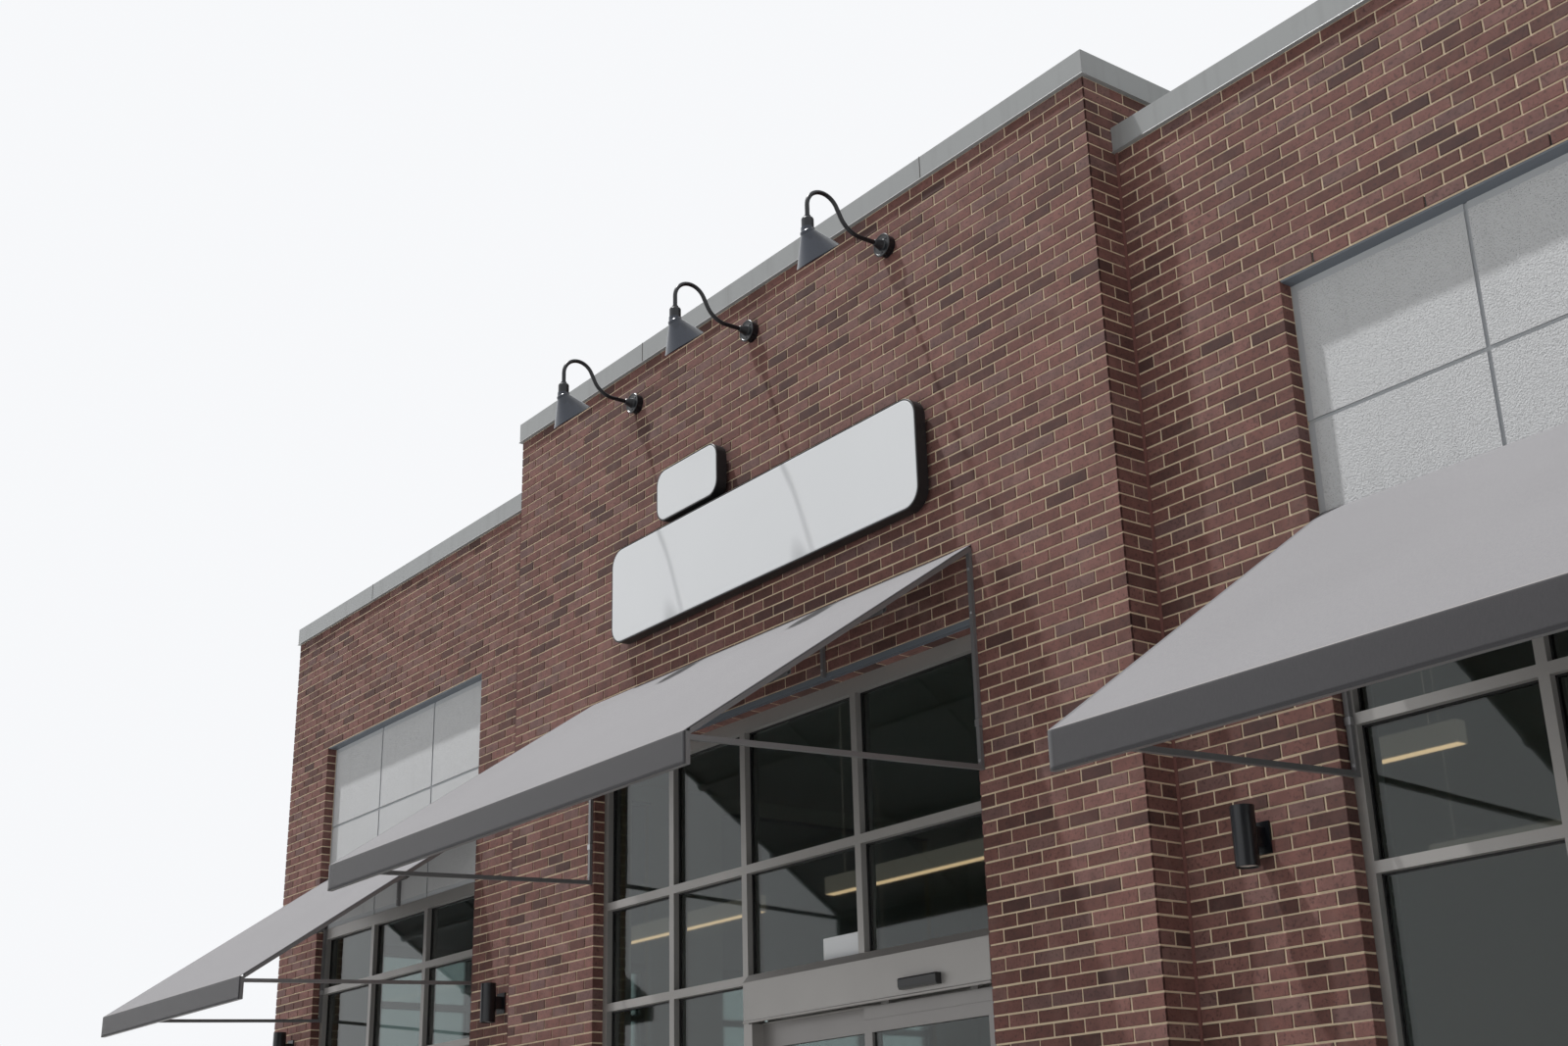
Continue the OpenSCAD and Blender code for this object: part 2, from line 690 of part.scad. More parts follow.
// Wall box, cover with a raised rim, and tapered hub, turned in one
module lamp_mount() rotate([90, 0, 0]) rotate_extrude() {
    face = box_d + cover_d;
    polygon([[0, 0], [box_r - 3, 0], [box_r, 4], [box_r, box_d], [cover_r, box_d],
             [cover_r, face - 3], [cover_r - 3, face], [cover_r - 9, face],
             [cover_r - 12, face - 3], [hub_r + 4, face - 3], [hub_r, face + 5],
             [arm_r + 5, hub_d - 3], [arm_r + 2, hub_d], [0, hub_d]]);
}

// The bends are let into their neighbours as slimmer spigots
module lamp_arm($fn = 24) {
    slim = arm_r - 0.25;
    lamp_mount($fn = 32);
    // Plug in the foot of the wall box
    translate([0, -box_d / 2, -box_r - 6]) cylinder(r = plug_r, h = 12);
    translate([0, -hub_d + 6, 0]) rotate([90, 0, 0])
        cylinder(r = arm_r, h = arm_len + 6, $fn = 14);
    bend(c1, arm_r1, slim, -91, arm_a + 2);
    translate([0, -e1[0], e1[1]]) rotate([90 - arm_a, 0, 0])
        cylinder(r = arm_r, h = arm_mid, $fn = 14);
    bend(c2, arm_r2, slim, -1, arm_a + 92);
    translate([0, -lamp_reach, socket_z - 4]) cylinder(r = arm_r, h = arm_drop + 4, $fn = 14);
    // Socket with a collar and a bevelled shoulder
    translate([0, -lamp_reach, socket_z - socket_h]) rotate_extrude()
        polygon([[0, 0], [socket_r, 0], [socket_r, socket_h - 24],
                 [socket_r - 3, socket_h - 17], [socket_r - 12, socket_h - 12],
                 [collar_r, socket_h - 12], [collar_r, socket_h], [0, socket_h]]);
    // Bulb on its neck, inside the shade
    translate([0, -lamp_reach, socket_z - socket_h - bulb_r])
        cylinder(r = bulb_neck_r, h = bulb_r + 2);
    translate([0, -lamp_reach, socket_z - socket_h - 50]) sphere(r = bulb_r, $fn = 18);
}

// Angle shade. Dome and cone turned round a leaning axis, as [radius, height] below
// the top, let in by t all round
dome_h = 22;
dome_r = socket_r + 2;
brow_r = dome_r + 8;
shade_off = 10;
function cone_r(s) = brow_r + (shade_r - brow_r) * (s - dome_h) / (shade_h - dome_h);
module shade_form(t) {
    deep = shade_h * 1.4;
    rotate([shade_tilt, 0, 0]) rotate_extrude() polygon(concat([[0, -t]],
        [for (a = [0 : 30 : 90]) [dome_r - t + 8 * sin(a), -t - (dome_h - t) * (1 - cos(a))]],
        [[cone_r(deep) - t, -deep - t], [0, -deep - t]]));
}
// The mouth is a slanted cut, and an upright collar clasps the socket
module lamp_shade() translate([0, -lamp_reach, socket_z - socket_h]) difference() {
    union() {
        translate([0, -shade_off, 0]) intersection() {
            difference() {
                shade_form(0);
                shade_form(shade_t);
            }
            translate([0, shade_h * sin(shade_tilt), -shade_h * cos(shade_tilt)])
                rotate([mouth_tilt, 0, 0]) translate([-2 * shade_h, -2 * shade_h, 0])
                cube(4 * shade_h);
        }
        translate([0, 0, -24]) cylinder(r = socket_r + 4, h = 36);
    }
    translate([0, 0, -60]) cylinder(r = socket_r + fit, h = 100);
}

module at_lamps() for (k = [-1, 0, 1])
    translate([k * lamp_pitch, ent_y, lamp_z]) children();
module lamp_arms() color("black") at_lamps() lamp_arm();
module lamp_shades() color("darkslategray") at_lamps() lamp_shade();

// Wall lights on the four wing piers, open light at the top and the foot

// Wall of the can, depth of its open ends, and half sizes of its arm and wall plate
can_t = 6;
can_deep = 11;
sconce_arm = [34, 44];
sconce_plate = [57, 72];
sconce_plate_t = 14;
module sconce() {
    difference() {
        translate([0, -sconce_out, -sconce_h / 2]) cylinder(r = sconce_r, h = sconce_h);
        for (z = [-sconce_h / 2 - 1, sconce_h / 2 - can_deep])
            translate([0, -sconce_out, z]) cylinder(r = sconce_r - can_t, h = can_deep + 1);
    }
    span([-sconce_arm[0], -sconce_out, -sconce_arm[1]],
         [sconce_arm[0], -sconce_plate_t + 4, sconce_arm[1]]);
    span([-sconce_plate[0], -sconce_plate_t, -sconce_plate[1]],
         [sconce_plate[0], 0, sconce_plate[1]]);
}
module wall_sconces() color("black") both()
    for (x = [(ent_x + bay_x0) / 2, (bay_x1 + end_x) / 2])
        translate([x, 0, sconce_z]) sconce();

floor_slab();
roof_deck();
entrance_piers();
entrance_head();
entrance_returns();
left_wing_piers();
left_wing_head();
right_wing_piers();
right_wing_head();
side_piers();
side_heads();
back_piers();
back_head();
window_aprons();
steel_lintels();
entrance_coping();
low_coping();
left_wing_panel();
right_wing_panel();
side_and_back_panels();
side_screen_frame();
over_door_frame();
door_jambs();
storefront_glass();
wing_window_frames();
wing_window_glass();
side_and_back_frames();
side_and_back_glass();
window_sills();
door_header();
door_sensor();
door_threshold();
fixed_leaf();
fixed_leaf_glass();
sliding_leaf();
sliding_leaf_glass();
entrance_awning_frame();
entrance_awning_cover();
left_awning_frame();
left_awning_cover();
right_awning_frame();
right_awning_cover();
lamp_arms();
lamp_shades();
wall_sconces();
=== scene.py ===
# %% [markdown]
# # Dressing a corner shop
# The solids of this building come ready made: walls, frames, glass, awnings,
# lamps and a sliding door. This notebook gives them their surfaces. It lays
# real bricks on the walls, stretches cloth on the awning frames, glazes and
# seals the windows, and lights the whole as a model on a pale floor.

import bpy
import numpy as np
from mathutils import Matrix, Vector


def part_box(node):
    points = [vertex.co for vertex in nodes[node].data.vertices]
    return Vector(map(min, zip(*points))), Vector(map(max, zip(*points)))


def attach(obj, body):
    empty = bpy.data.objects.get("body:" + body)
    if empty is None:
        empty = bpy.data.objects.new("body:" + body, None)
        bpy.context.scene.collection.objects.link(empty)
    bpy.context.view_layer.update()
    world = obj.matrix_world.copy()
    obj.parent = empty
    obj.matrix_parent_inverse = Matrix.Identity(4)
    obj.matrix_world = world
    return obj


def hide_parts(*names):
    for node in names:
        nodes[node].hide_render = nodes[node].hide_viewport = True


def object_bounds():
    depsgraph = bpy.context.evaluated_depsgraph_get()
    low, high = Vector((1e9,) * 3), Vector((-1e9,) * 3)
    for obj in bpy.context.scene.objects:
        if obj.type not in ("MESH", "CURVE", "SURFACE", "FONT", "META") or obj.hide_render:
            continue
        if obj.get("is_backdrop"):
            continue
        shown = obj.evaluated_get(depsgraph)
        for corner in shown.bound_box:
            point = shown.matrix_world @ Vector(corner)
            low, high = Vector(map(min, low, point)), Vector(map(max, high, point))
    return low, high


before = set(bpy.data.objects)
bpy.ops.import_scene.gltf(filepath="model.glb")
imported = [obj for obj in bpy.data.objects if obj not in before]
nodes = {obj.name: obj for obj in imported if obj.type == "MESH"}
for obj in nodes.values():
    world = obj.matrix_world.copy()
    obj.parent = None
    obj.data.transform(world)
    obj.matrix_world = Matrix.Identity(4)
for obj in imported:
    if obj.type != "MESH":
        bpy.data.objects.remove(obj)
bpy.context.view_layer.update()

# %% [markdown]
# ## Where things are
# Bricks, seals and bolts have to meet the solids. Their places could be typed
# in, but then nothing would fit after a change. So the large sizes are read
# from the boxes of the solids, and the few that a box can't give, such as the
# width of a bar, are named where they are needed. X runs along the front, Y
# into the building and Z up.

# %% Read the main edges
def box(node):
    """The low and the high corner of a node, as an array of two rows."""
    return np.array(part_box(node))


(_, bay_y, _), (bay_x, bay_inner_y, _) = box("entrance_piers")
end_x, back_y = box("back_head")[1][:2]
wall_t = bay_inner_y - bay_y
coping_h = np.ptp(box("low_coping"), axis=0)[2]
tall_z = box("entrance_coping")[0][2]
low_z, low_top = box("low_coping")[:, 2]
return_y, return_top = box("entrance_returns")[1][1:]
open_x = -box("side_screen_frame")[0][0]
open_z = box("entrance_head")[0][2]
light_x0, light_x1 = box("right_wing_panel")[:, 0]
recess = box("right_wing_panel")[0][1]
head_z = box("right_wing_head")[0][2]
apron_z = box("window_aprons")[1][2]
sill_z = box("window_sills")[1][2]
roof_z = box("roof_deck")[1][2]
bay_w = light_x1 - light_x0
side_pier = (back_y - 2 * bay_w) / 3
print("front bay", round(bay_x, 3), "ends", round(end_x, 3), "back", round(back_y, 3))

# %% [markdown]
# ## Making meshes from arrays
# An operator could make one brick and copy it, but by the thousand that is
# slow. Here arrays of points and faces go into a mesh in one step, so 16000
# bricks are as quick to make as one.

# %% Mesh helpers
BODY = "building"


def make_piece(name, points, faces, material, slot=None, smooth=False, marks=None):
    """Makes a piece of points and faces that rides on the building. marks holds a number
    for each point under the name that a finish reads."""
    mesh = bpy.data.meshes.new(name)
    mesh.from_pydata(np.reshape(points, (-1, 3)).tolist(), [], faces, shade_flat=not smooth)
    for title, values in (marks or {}).items():
        layer = mesh.attributes.new(title, "FLOAT", "POINT")
        layer.data.foreach_set("value", np.asarray(values, np.float32).ravel())
    mesh.materials.append(material)
    piece = bpy.data.objects.new(name, mesh)
    bpy.context.scene.collection.objects.link(piece)
    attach(piece, BODY)
    print(name, len(mesh.polygons), "faces")
    return piece


def on_plan(x, y, z=0.0):
    """A point or a direction on the plan, as an array of three."""
    return np.array([x, y, z], float)


BOX_CORNERS = np.array([[0, 0, 0], [1, 0, 0], [1, 1, 0], [0, 1, 0],
                        [0, 0, 1], [1, 0, 1], [1, 1, 1], [0, 1, 1]])
BOX_QUADS = np.array([[0, 3, 2, 1], [4, 5, 6, 7], [0, 1, 5, 4],
                      [1, 2, 6, 5], [2, 3, 7, 6], [3, 0, 4, 7]])


def boxes(lows, highs):
    """Points and quads of many boxes, from arrays of their low and high corners."""
    low, high = np.asarray(lows, float), np.asarray(highs, float)
    points = np.where(BOX_CORNERS[None], high[:, None], low[:, None])
    quads = BOX_QUADS[None] + 8 * np.arange(len(low))[:, None, None]
    return points.reshape(-1, 3), quads.reshape(-1, 4).tolist()


print("a box has", len(BOX_QUADS), "faces")

# %% [markdown]
# ## Shader groups
# Real surfaces are never one flat colour. Three effects are used by many
# finishes here: a colour that wanders softly from place to place, fine grain,
# and dirt that runs down a wall. Each could be wired afresh in every material.
# A node group is built once and placed with other values each time.

# %% Node helpers
def feed(tree, value, socket):
    """Links a socket to another, or sets it to a plain number or colour."""
    if isinstance(value, bpy.types.NodeSocket):
        tree.links.new(value, socket)
    else:
        socket.default_value = value


def math_node(tree, operation, *values):
    """One Math node; the values are sockets or numbers."""
    node = tree.nodes.new("ShaderNodeMath")
    node.operation = operation
    for value, socket in zip(values, node.inputs):
        feed(tree, value, socket)
    return node.outputs[0]


def mix_colour(tree, share, a, b):
    """Colour a where share is 0, and b where it is 1."""
    node = tree.nodes.new("ShaderNodeMix")
    node.data_type = "RGBA"
    for at, value in ((0, share), (6, a), (7, b)):
        feed(tree, value, node.inputs[at])
    return node.outputs[2]


def noise(tree, place, scale, detail=3.0, stretch=None):
    """Noise from 0 to 1 at a scale in waves a metre, stretched along an axis if asked."""
    if stretch:
        mapping = tree.nodes.new("ShaderNodeMapping")
        mapping.inputs["Scale"].default_value = stretch
        feed(tree, place, mapping.inputs["Vector"])
        place = mapping.outputs[0]
    node = tree.nodes.new("ShaderNodeTexNoise")
    for title, value in (("Vector", place), ("Scale", scale), ("Detail", detail)):
        feed(tree, value, node.inputs[title])
    return node.outputs["Fac"]


def soft_step(tree, value, low, high):
    """0 below low, 1 above high, smooth between."""
    node = tree.nodes.new("ShaderNodeMapRange")
    node.interpolation_type = "SMOOTHSTEP"
    for title, number in (("Value", value), ("From Min", low), ("From Max", high)):
        feed(tree, number, node.inputs[title])
    return node.outputs[0]


def inverse(tree, value):
    """1 where the value is 0, and 0 where it is 1."""
    return math_node(tree, "SUBTRACT", 1.0, value)


def product(tree, first, *others):
    """All the values multiplied, so masks give 1 only where every one is 1."""
    for other in others:
        first = math_node(tree, "MULTIPLY", first, other)
    return first


print("a node takes sockets or plain numbers")

# %% The three groups
KINDS = {"Colour": "Color", "Place": "Vector"}


def new_group(name, inputs, outputs):
    """An empty group with named sockets: a colour, a place, or else a number."""
    group = bpy.data.node_groups.new(name, "ShaderNodeTree")
    for way, titles in (("INPUT", inputs), ("OUTPUT", outputs)):
        for title in titles:
            kind = "NodeSocket" + KINDS.get(title, "Float")
            group.interface.new_socket(title, in_out=way, socket_type=kind)
    sockets = group.nodes.new("NodeGroupInput").outputs
    return group, sockets, group.nodes.new("NodeGroupOutput").inputs


# Patchy tone: the colour times 1 + 3 x amount x (noise - 0.5)
patch_group, given, result = new_group("patchy_tone", ["Colour", "Place", "Amount", "Scale"],
                                       ["Colour"])
wander = noise(patch_group, given["Place"], given["Scale"], 4.0)
wander = product(patch_group, math_node(patch_group, "SUBTRACT", wander, 0.5), given["Amount"])
wander = math_node(patch_group, "ADD", product(patch_group, wander, 3.0), 1.0)
toned = patch_group.nodes.new("ShaderNodeVectorMath")
toned.operation = "SCALE"
feed(patch_group, given["Colour"], toned.inputs[0])
feed(patch_group, wander, toned.inputs["Scale"])
feed(patch_group, toned.outputs[0], result["Colour"])

# Grain: noise for the height, and small round pits
grain_group, given, result = new_group("fine_grain", ["Place", "Scale"], ["Height", "Pits"])
cells = grain_group.nodes.new("ShaderNodeTexVoronoi")
feed(grain_group, given["Place"], cells.inputs["Vector"])
feed(grain_group, given["Scale"], cells.inputs["Scale"])
pits = soft_step(grain_group, cells.outputs["Distance"], 0.10, 0.28)
roughcast = noise(grain_group, given["Place"], given["Scale"], 2.0)
feed(grain_group, math_node(grain_group, "ADD", roughcast, pits), result["Height"])
feed(grain_group, pits, result["Pits"])

# Weather: dark runs, noise stretched down the wall
DIRT = (0.06, 0.05, 0.045, 1)
weather_group, given, result = new_group("weathering", ["Colour", "Place", "Amount"], ["Colour"])
streaks = noise(weather_group, given["Place"], 3.0, 5.0, (4.0, 4.0, 0.35))
streaks = product(weather_group, soft_step(weather_group, streaks, 0.5, 0.85), given["Amount"])
feed(weather_group, mix_colour(weather_group, streaks, given["Colour"], DIRT), result["Colour"])
print("groups:", [g.name for g in bpy.data.node_groups])

# %% [markdown]
# ## Starting a material
# Every finish begins the same way: one glossy or dull shader, and the place of
# each point in metres. The places come from Object coordinates, so a pattern
# has its true size and doesn't slide or stretch. The helpers put one of the
# groups, a bump or a colour on the shader.

# %% Helpers of every finish
def srgb(r, g, b):
    """A colour given as 0 to 255, as Blender's linear colour."""
    c = np.array([r, g, b]) / 255.0
    c = np.where(c <= 0.04045, c / 12.92, ((c + 0.055) / 1.055) ** 2.4)
    return (*[float(v) for v in c], 1.0)


def start(name, roughness=0.5, metallic=0.0, **more):
    """A new material: its tree, its shader and the Object coordinates. more sets other
    numbers or colours on the shader's own sockets."""
    material = bpy.data.materials.new(name)
    material.use_nodes = True
    tree = material.node_tree
    shader = tree.nodes["Principled BSDF"]
    for title, value in {"Roughness": roughness, "Metallic": metallic, **more}.items():
        shader.inputs[title.replace("_", " ")].default_value = value
    place = tree.nodes.new("ShaderNodeTexCoord").outputs["Object"]
    return material, tree, shader, place


def use_group(tree, group, **values):
    """Places a group with its values, and gives back its outputs."""
    node = tree.nodes.new("ShaderNodeGroup")
    node.node_tree = group
    for title, value in values.items():
        feed(tree, value, node.inputs[title])
    return node.outputs


def patchy(tree, place, colour, amount, scale):
    """A colour made lighter and darker in soft patches; scale in waves a metre."""
    return use_group(tree, patch_group, Colour=colour, Place=place, Amount=amount,
                     Scale=scale)["Colour"]


def weathered(tree, place, colour, amount):
    """A colour with dark runs down the wall."""
    return use_group(tree, weather_group, Colour=colour, Place=place, Amount=amount)["Colour"]


def grain(tree, place, scale):
    """The height and the pits of a fine grain."""
    return use_group(tree, grain_group, Place=place, Scale=scale)


def mark(tree, title):
    """A number stored with the points of a mesh."""
    node = tree.nodes.new("ShaderNodeAttribute")
    node.attribute_name = title
    return node.outputs["Fac"]


def bump(tree, shader, height, distance, strength=1.0):
    """Feeds a height, in metres at 1, into the shader's normal."""
    node = tree.nodes.new("ShaderNodeBump")
    for title, value in (("Distance", distance), ("Strength", strength), ("Height", height)):
        feed(tree, value, node.inputs[title])
    feed(tree, node.outputs[0], shader.inputs["Normal"])


def paint(tree, shader, colour):
    """Feeds a colour that changes over the surface into the shader."""
    feed(tree, colour, shader.inputs["Base Color"])


def dress(names, material):
    """Gives CAD nodes a material in place of their plain one."""
    for name in names:
        mesh = nodes[name].data
        mesh.materials.clear()
        mesh.materials.append(material)
    print(material.name, "on", ", ".join(names))


print("mid grey is", round(srgb(128, 128, 128)[0], 3), "in linear light")

# %% [markdown]
# ## Brick and mortar finishes
# Fired bricks differ from one to the next: most are a muted red-brown, the
# hard-burnt ones darker, a few greyer. An image could show that, but it would
# repeat. Here every brick carries a number, its tint, and a colour ramp turns
# that number into one of nine tones. Patches, specks and a little dust lie
# over it, and pits painted darker as painted shade in their hollows. Mortar is
# pale and sandy, and the same finish becomes plaster inside and membrane on
# the inner side of the parapets.

# %% Brick finish
brick_finish, tree, shader, place = start("fired_brick", 0.85)
palette = tree.nodes.new("ShaderNodeValToRGB")
BRICK_TONES = [(0.0, srgb(72, 46, 42)), (0.09, srgb(86, 55, 49)), (0.20, srgb(99, 64, 57)),
               (0.40, srgb(110, 72, 65)), (0.58, srgb(117, 78, 71)), (0.74, srgb(125, 86, 79)),
               (0.84, srgb(121, 86, 80)), (0.92, srgb(115, 85, 80)), (1.0, srgb(104, 76, 73))]
ramp = palette.color_ramp.elements
while len(ramp) < len(BRICK_TONES):
    ramp.new(0.5)
for element, (at, colour) in zip(ramp, BRICK_TONES):
    element.position, element.color = at, colour
feed(tree, mark(tree, "tint"), palette.inputs["Fac"])
tone = patchy(tree, place, palette.outputs["Color"], 0.30, 13.0)
speck = soft_step(tree, noise(tree, place, 62.0, 5.0), 0.53, 0.68)
tone = mix_colour(tree, product(tree, speck, 0.55), tone, srgb(52, 34, 32))
fired = grain(tree, place, 210.0)
# The pits are painted darker where the bump sinks them: painted shade in the small hollows.
tone = mix_colour(tree, inverse(tree, fired["Pits"]), tone, srgb(48, 31, 29))
dusty = product(tree, soft_step(tree, noise(tree, place, 5.0, 5.0), 0.52, 0.78), 0.13)
paint(tree, shader, mix_colour(tree, dusty, tone, srgb(168, 146, 136)))
bump(tree, shader, fired["Height"], 0.0012)
print(len(BRICK_TONES), "tones of brick")

# %% Mortar and plaster finish
MORTAR, PLASTER, UPSTAND = srgb(228, 208, 179), srgb(214, 212, 206), srgb(205, 206, 203)
SHELL, ROOF_SKIN = 0.05, 0.01


def inside_masks(tree, place):
    """Two masks: 1 on the inner side of the walls, and 1 above the roof."""
    parts = tree.nodes.new("ShaderNodeSeparateXYZ")
    feed(tree, place, parts.inputs[0])
    x = math_node(tree, "ABSOLUTE", parts.outputs["X"])
    y, z = parts.outputs["Y"], parts.outputs["Z"]
    near = wall_t - SHELL

    def compare(operation, value, limit):
        return math_node(tree, operation, value, float(limit))

    before_back = compare("LESS_THAN", y, back_y - near)
    wings = product(tree, compare("LESS_THAN", x, end_x - near),
                    compare("GREATER_THAN", y, near), before_back,
                    compare("LESS_THAN", z, low_top))
    bay = product(tree, compare("LESS_THAN", x, bay_x - near),
                  compare("GREATER_THAN", y, bay_y + near), before_back)
    return math_node(tree, "MAXIMUM", wings, bay), compare("GREATER_THAN", z, roof_z - ROOF_SKIN)


mortar_finish, tree, shader, place = start("mortar_and_plaster", 0.95)
joint = patchy(tree, place, MORTAR, 0.10, 3.0)
inner, above = inside_masks(tree, place)
tone = mix_colour(tree, inner, joint, PLASTER)
tone = mix_colour(tree, product(tree, inner, above), tone, UPSTAND)
paint(tree, shader, tone)
bump(tree, shader, grain(tree, place, 520.0)["Height"], 0.0008)
dress(["entrance_piers", "entrance_head", "entrance_returns", "left_wing_piers",
       "left_wing_head", "right_wing_piers", "right_wing_head", "side_piers",
       "side_heads", "back_piers", "back_head", "window_aprons"], mortar_finish)

# %% [markdown]
# ## One brick
# Three courses make 203 mm, and bricks lie 203 mm apart. A brick pattern in
# the shader would be flat seen from the side. So each brick is a real block
# with worn edges that stands 5 mm out of the wall, and the solid wall behind
# shows between them as mortar, in the bricks' own shadow. With ten faces a
# block, the whole shop stays light.

# %% The form of a brick
COURSE = 0.0677333
HALF = 0.1016
JOINT = 0.0098
PROUD = 0.005
WORN = 0.0022
SUNK = 0.001
UP = np.array([0.0, 0.0, 1.0])
RINGS = [[r + i, r + (i + 1) % 4, r + 4 + (i + 1) % 4, r + 4 + i] for r in (0, 4) for i in range(4)]
BRICK_QUADS = np.array(RINGS + [[8, 9, 10, 11], [3, 2, 1, 0]])


def brick_blocks(origin, along, rows, up=UP):
    """Blocks with worn edges. rows holds u0, u1, z0, z1, proud and tint of each brick.
    Each block is three rings of four corners: in the wall, at the worn edge and the face."""
    along, up = np.asarray(along, float), np.asarray(up, float)
    out = np.cross(along, up)
    u0, u1, z0, z1, proud, tint = rows.T
    corners = []
    for depth, inset in ((np.full_like(proud, -SUNK), 0.0), (proud - WORN, 0.0), (proud, WORN)):
        for u, z in ((u0 + inset, z0 + inset), (u1 - inset, z0 + inset),
                     (u1 - inset, z1 - inset), (u0 + inset, z1 - inset)):
            corners.append(origin + u[:, None] * along + depth[:, None] * out + z[:, None] * up)
    points = np.stack(corners, 1)
    quads = BRICK_QUADS[None] + 12 * np.arange(len(rows))[:, None, None]
    return points.reshape(-1, 3), quads.reshape(-1, 4), np.repeat(tint, 12)


def courses_between(z0, z1):
    """The numbers of the courses that show between two heights."""
    return np.arange(int(np.floor(z0 / COURSE)), int(np.ceil(z1 / COURSE)))


def brick_heights(k, z0, z1):
    """Bottom and top of the bricks of course k, cut off at z0 and z1."""
    return (np.clip(k * COURSE + JOINT / 2, z0, z1), np.clip((k + 1) * COURSE - JOINT / 2, z0, z1))


print("course", COURSE, "half brick", HALF, "joint", JOINT)

# %% [markdown]
# ## Running bond
# In running bond each course is shifted by half a brick over the last, and at
# a corner a long side and a short one show in turn. A mason cuts bricks only
# at openings. The walls here could be filled from one end, but then the cut
# ones would fall anywhere. So half bricks are counted between the upright
# edges of a face, and a stretch is spread over its count. A brick that turns a
# corner has the same tint on both faces, because the tints of an edge come
# from its place. Small uneven shifts keep the lines from looking printed.

# %% Counting half bricks
# How near an opening a brick counts as whole or cut, and the thinnest brick laid
SLACK, TOUCH, LEAST = 0.02, 0.005, 0.012


def edge_tints(x, y):
    """The tints of the bricks that turn an upright corner, course by course. The seed
    comes from the corner's place, so two faces that share it agree."""
    seed = int(round(abs(x) * 1000)) * 31 + int(round(abs(y) * 1000)) * 17 + (x > 0)
    return np.random.default_rng(seed).random(120)


def uneven(rng, spread, shape):
    """Small shifts of a normal spread, none above twice the spread."""
    return rng.normal(0, spread, shape).clip(-2 * spread, 2 * spread)


def bond_cells(total, courses, phase):
    """First and last half brick and course of each brick, up to total half bricks. Odd
    courses start with a half brick, or even ones where phase is 1."""
    cells = []
    for odd in (0, 1):
        cut = np.unique(np.clip(np.arange(-odd, total + 2, 2), 0, total))
        k = courses[(courses + phase) % 2 == odd]
        lo, hi = np.meshgrid(cut[:-1], k)[0], np.meshgrid(cut[1:], k)[0]
        cells.append(np.stack([lo.ravel(), hi.ravel(), np.repeat(k, len(cut) - 1)]))
    return np.concatenate(cells, axis=1).astype(float)


print("the front corner's tints start", edge_tints(bay_x, bay_y)[:3].round(2))


# %% Laying bricks on a face
OUT_SPREAD, LINE_SPREAD = 0.0004, 0.0007


def running_bond(origin, along, knots, halves, z0, z1, holes=(), corners=(True, True),
                 seed=0, phase=0):
    """Blocks for one face. knots are the upright edges on the face, and halves how many
    half bricks lie up to each. holes are openings (u0, u1, z0, z1), and corners says
    which ends of the face turn a corner."""
    origin, along = np.asarray(origin, float), np.asarray(along, float)
    rng = np.random.default_rng(seed)
    lo, hi, k = bond_cells(halves[-1], courses_between(z0, z1), phase)
    u0, u1 = np.interp(lo, halves, knots), np.interp(hi, halves, knots)
    zc = (k + 0.5) * COURSE
    # Each brick's ends, and which edge they meet: a number, or -1 for a joint
    b0, b1 = u0.copy(), u1.copy()
    w0, w1 = np.where(lo == 0, 0, -1), np.where(hi == halves[-1], 1, -1)
    edges = [(knots[0], corners[0]), (knots[-1], corners[1])]
    keep = np.ones(len(lo), bool)
    for n, (h0, h1, hz0, hz1) in enumerate(holes):
        level = (zc > hz0) & (zc < hz1)
        keep &= ~(level & (u0 > h0 - SLACK) & (u1 < h1 + SLACK))
        left = level & (u0 < h0 - SLACK) & (u1 > h0 - TOUCH)
        right = level & (u1 > h1 + SLACK) & (u0 < h1 + TOUCH)
        b1[left], w1[left] = h0, 2 + 2 * n
        b0[right], w0[right] = h1, 3 + 2 * n
        edges += [(h0, True), (h1, True)]
    tint = rng.random(len(lo))
    x0 = np.where(w0 < 0, b0 + JOINT / 2, b0)
    x1 = np.where(w1 < 0, b1 - JOINT / 2, b1)
    for which, ends, way in ((w0, x0, -1), (w1, x1, 1)):
        for e, (edge, turns) in enumerate(edges):
            hit = which == e
            if turns:
                ends[hit] += way * PROUD
                at = origin + edge * along
                tint[hit] = edge_tints(at[0], at[1])[k[hit].astype(int)]
    low, high = brick_heights(k, z0, z1)
    for h0, h1, hz0, hz1 in holes:
        over = (u1 > h0) & (u0 < h1)
        low = np.where(over & (zc >= hz1), np.maximum(low, hz1), low)
        high = np.where(over & (zc <= hz0), np.minimum(high, hz0), high)
    keep &= high - low > LEAST
    proud = PROUD + uneven(rng, OUT_SPREAD, len(lo))
    proud = np.where((w0 >= 0) | (w1 >= 0), PROUD, proud)
    shift = uneven(rng, LINE_SPREAD, (4, len(lo)))
    x0 = np.where(w0 < 0, x0 + shift[0], x0)
    x1 = np.where(w1 < 0, x1 + shift[1], x1)
    rows = np.stack([x0, x1, low + shift[2], high + shift[3], proud, tint], 1)
    return brick_blocks(origin, along, rows[keep])


print("bricks stray by", LINE_SPREAD, "m")


# %% Jambs and whole faces
# Two faces never lie in one plane: a jamb's brick stands back and stops short
JAMB_LESS, CORNER_GAP, FRAME_GAP = 0.0003, 0.0006, 0.002


def jamb_bricks(origin, along, depth, z0, z1):
    """The brick ends that show in the side of an opening, one to a course."""
    k = courses_between(z0, z1)
    low, high = brick_heights(k, z0, z1)
    same = np.ones(len(k))
    rows = np.stack([depth[0] * same, depth[1] * same, low, high, (PROUD - JAMB_LESS) * same,
                     edge_tints(origin[0], origin[1])[k]], 1)
    return brick_blocks(origin, along, rows[high - low > LEAST])


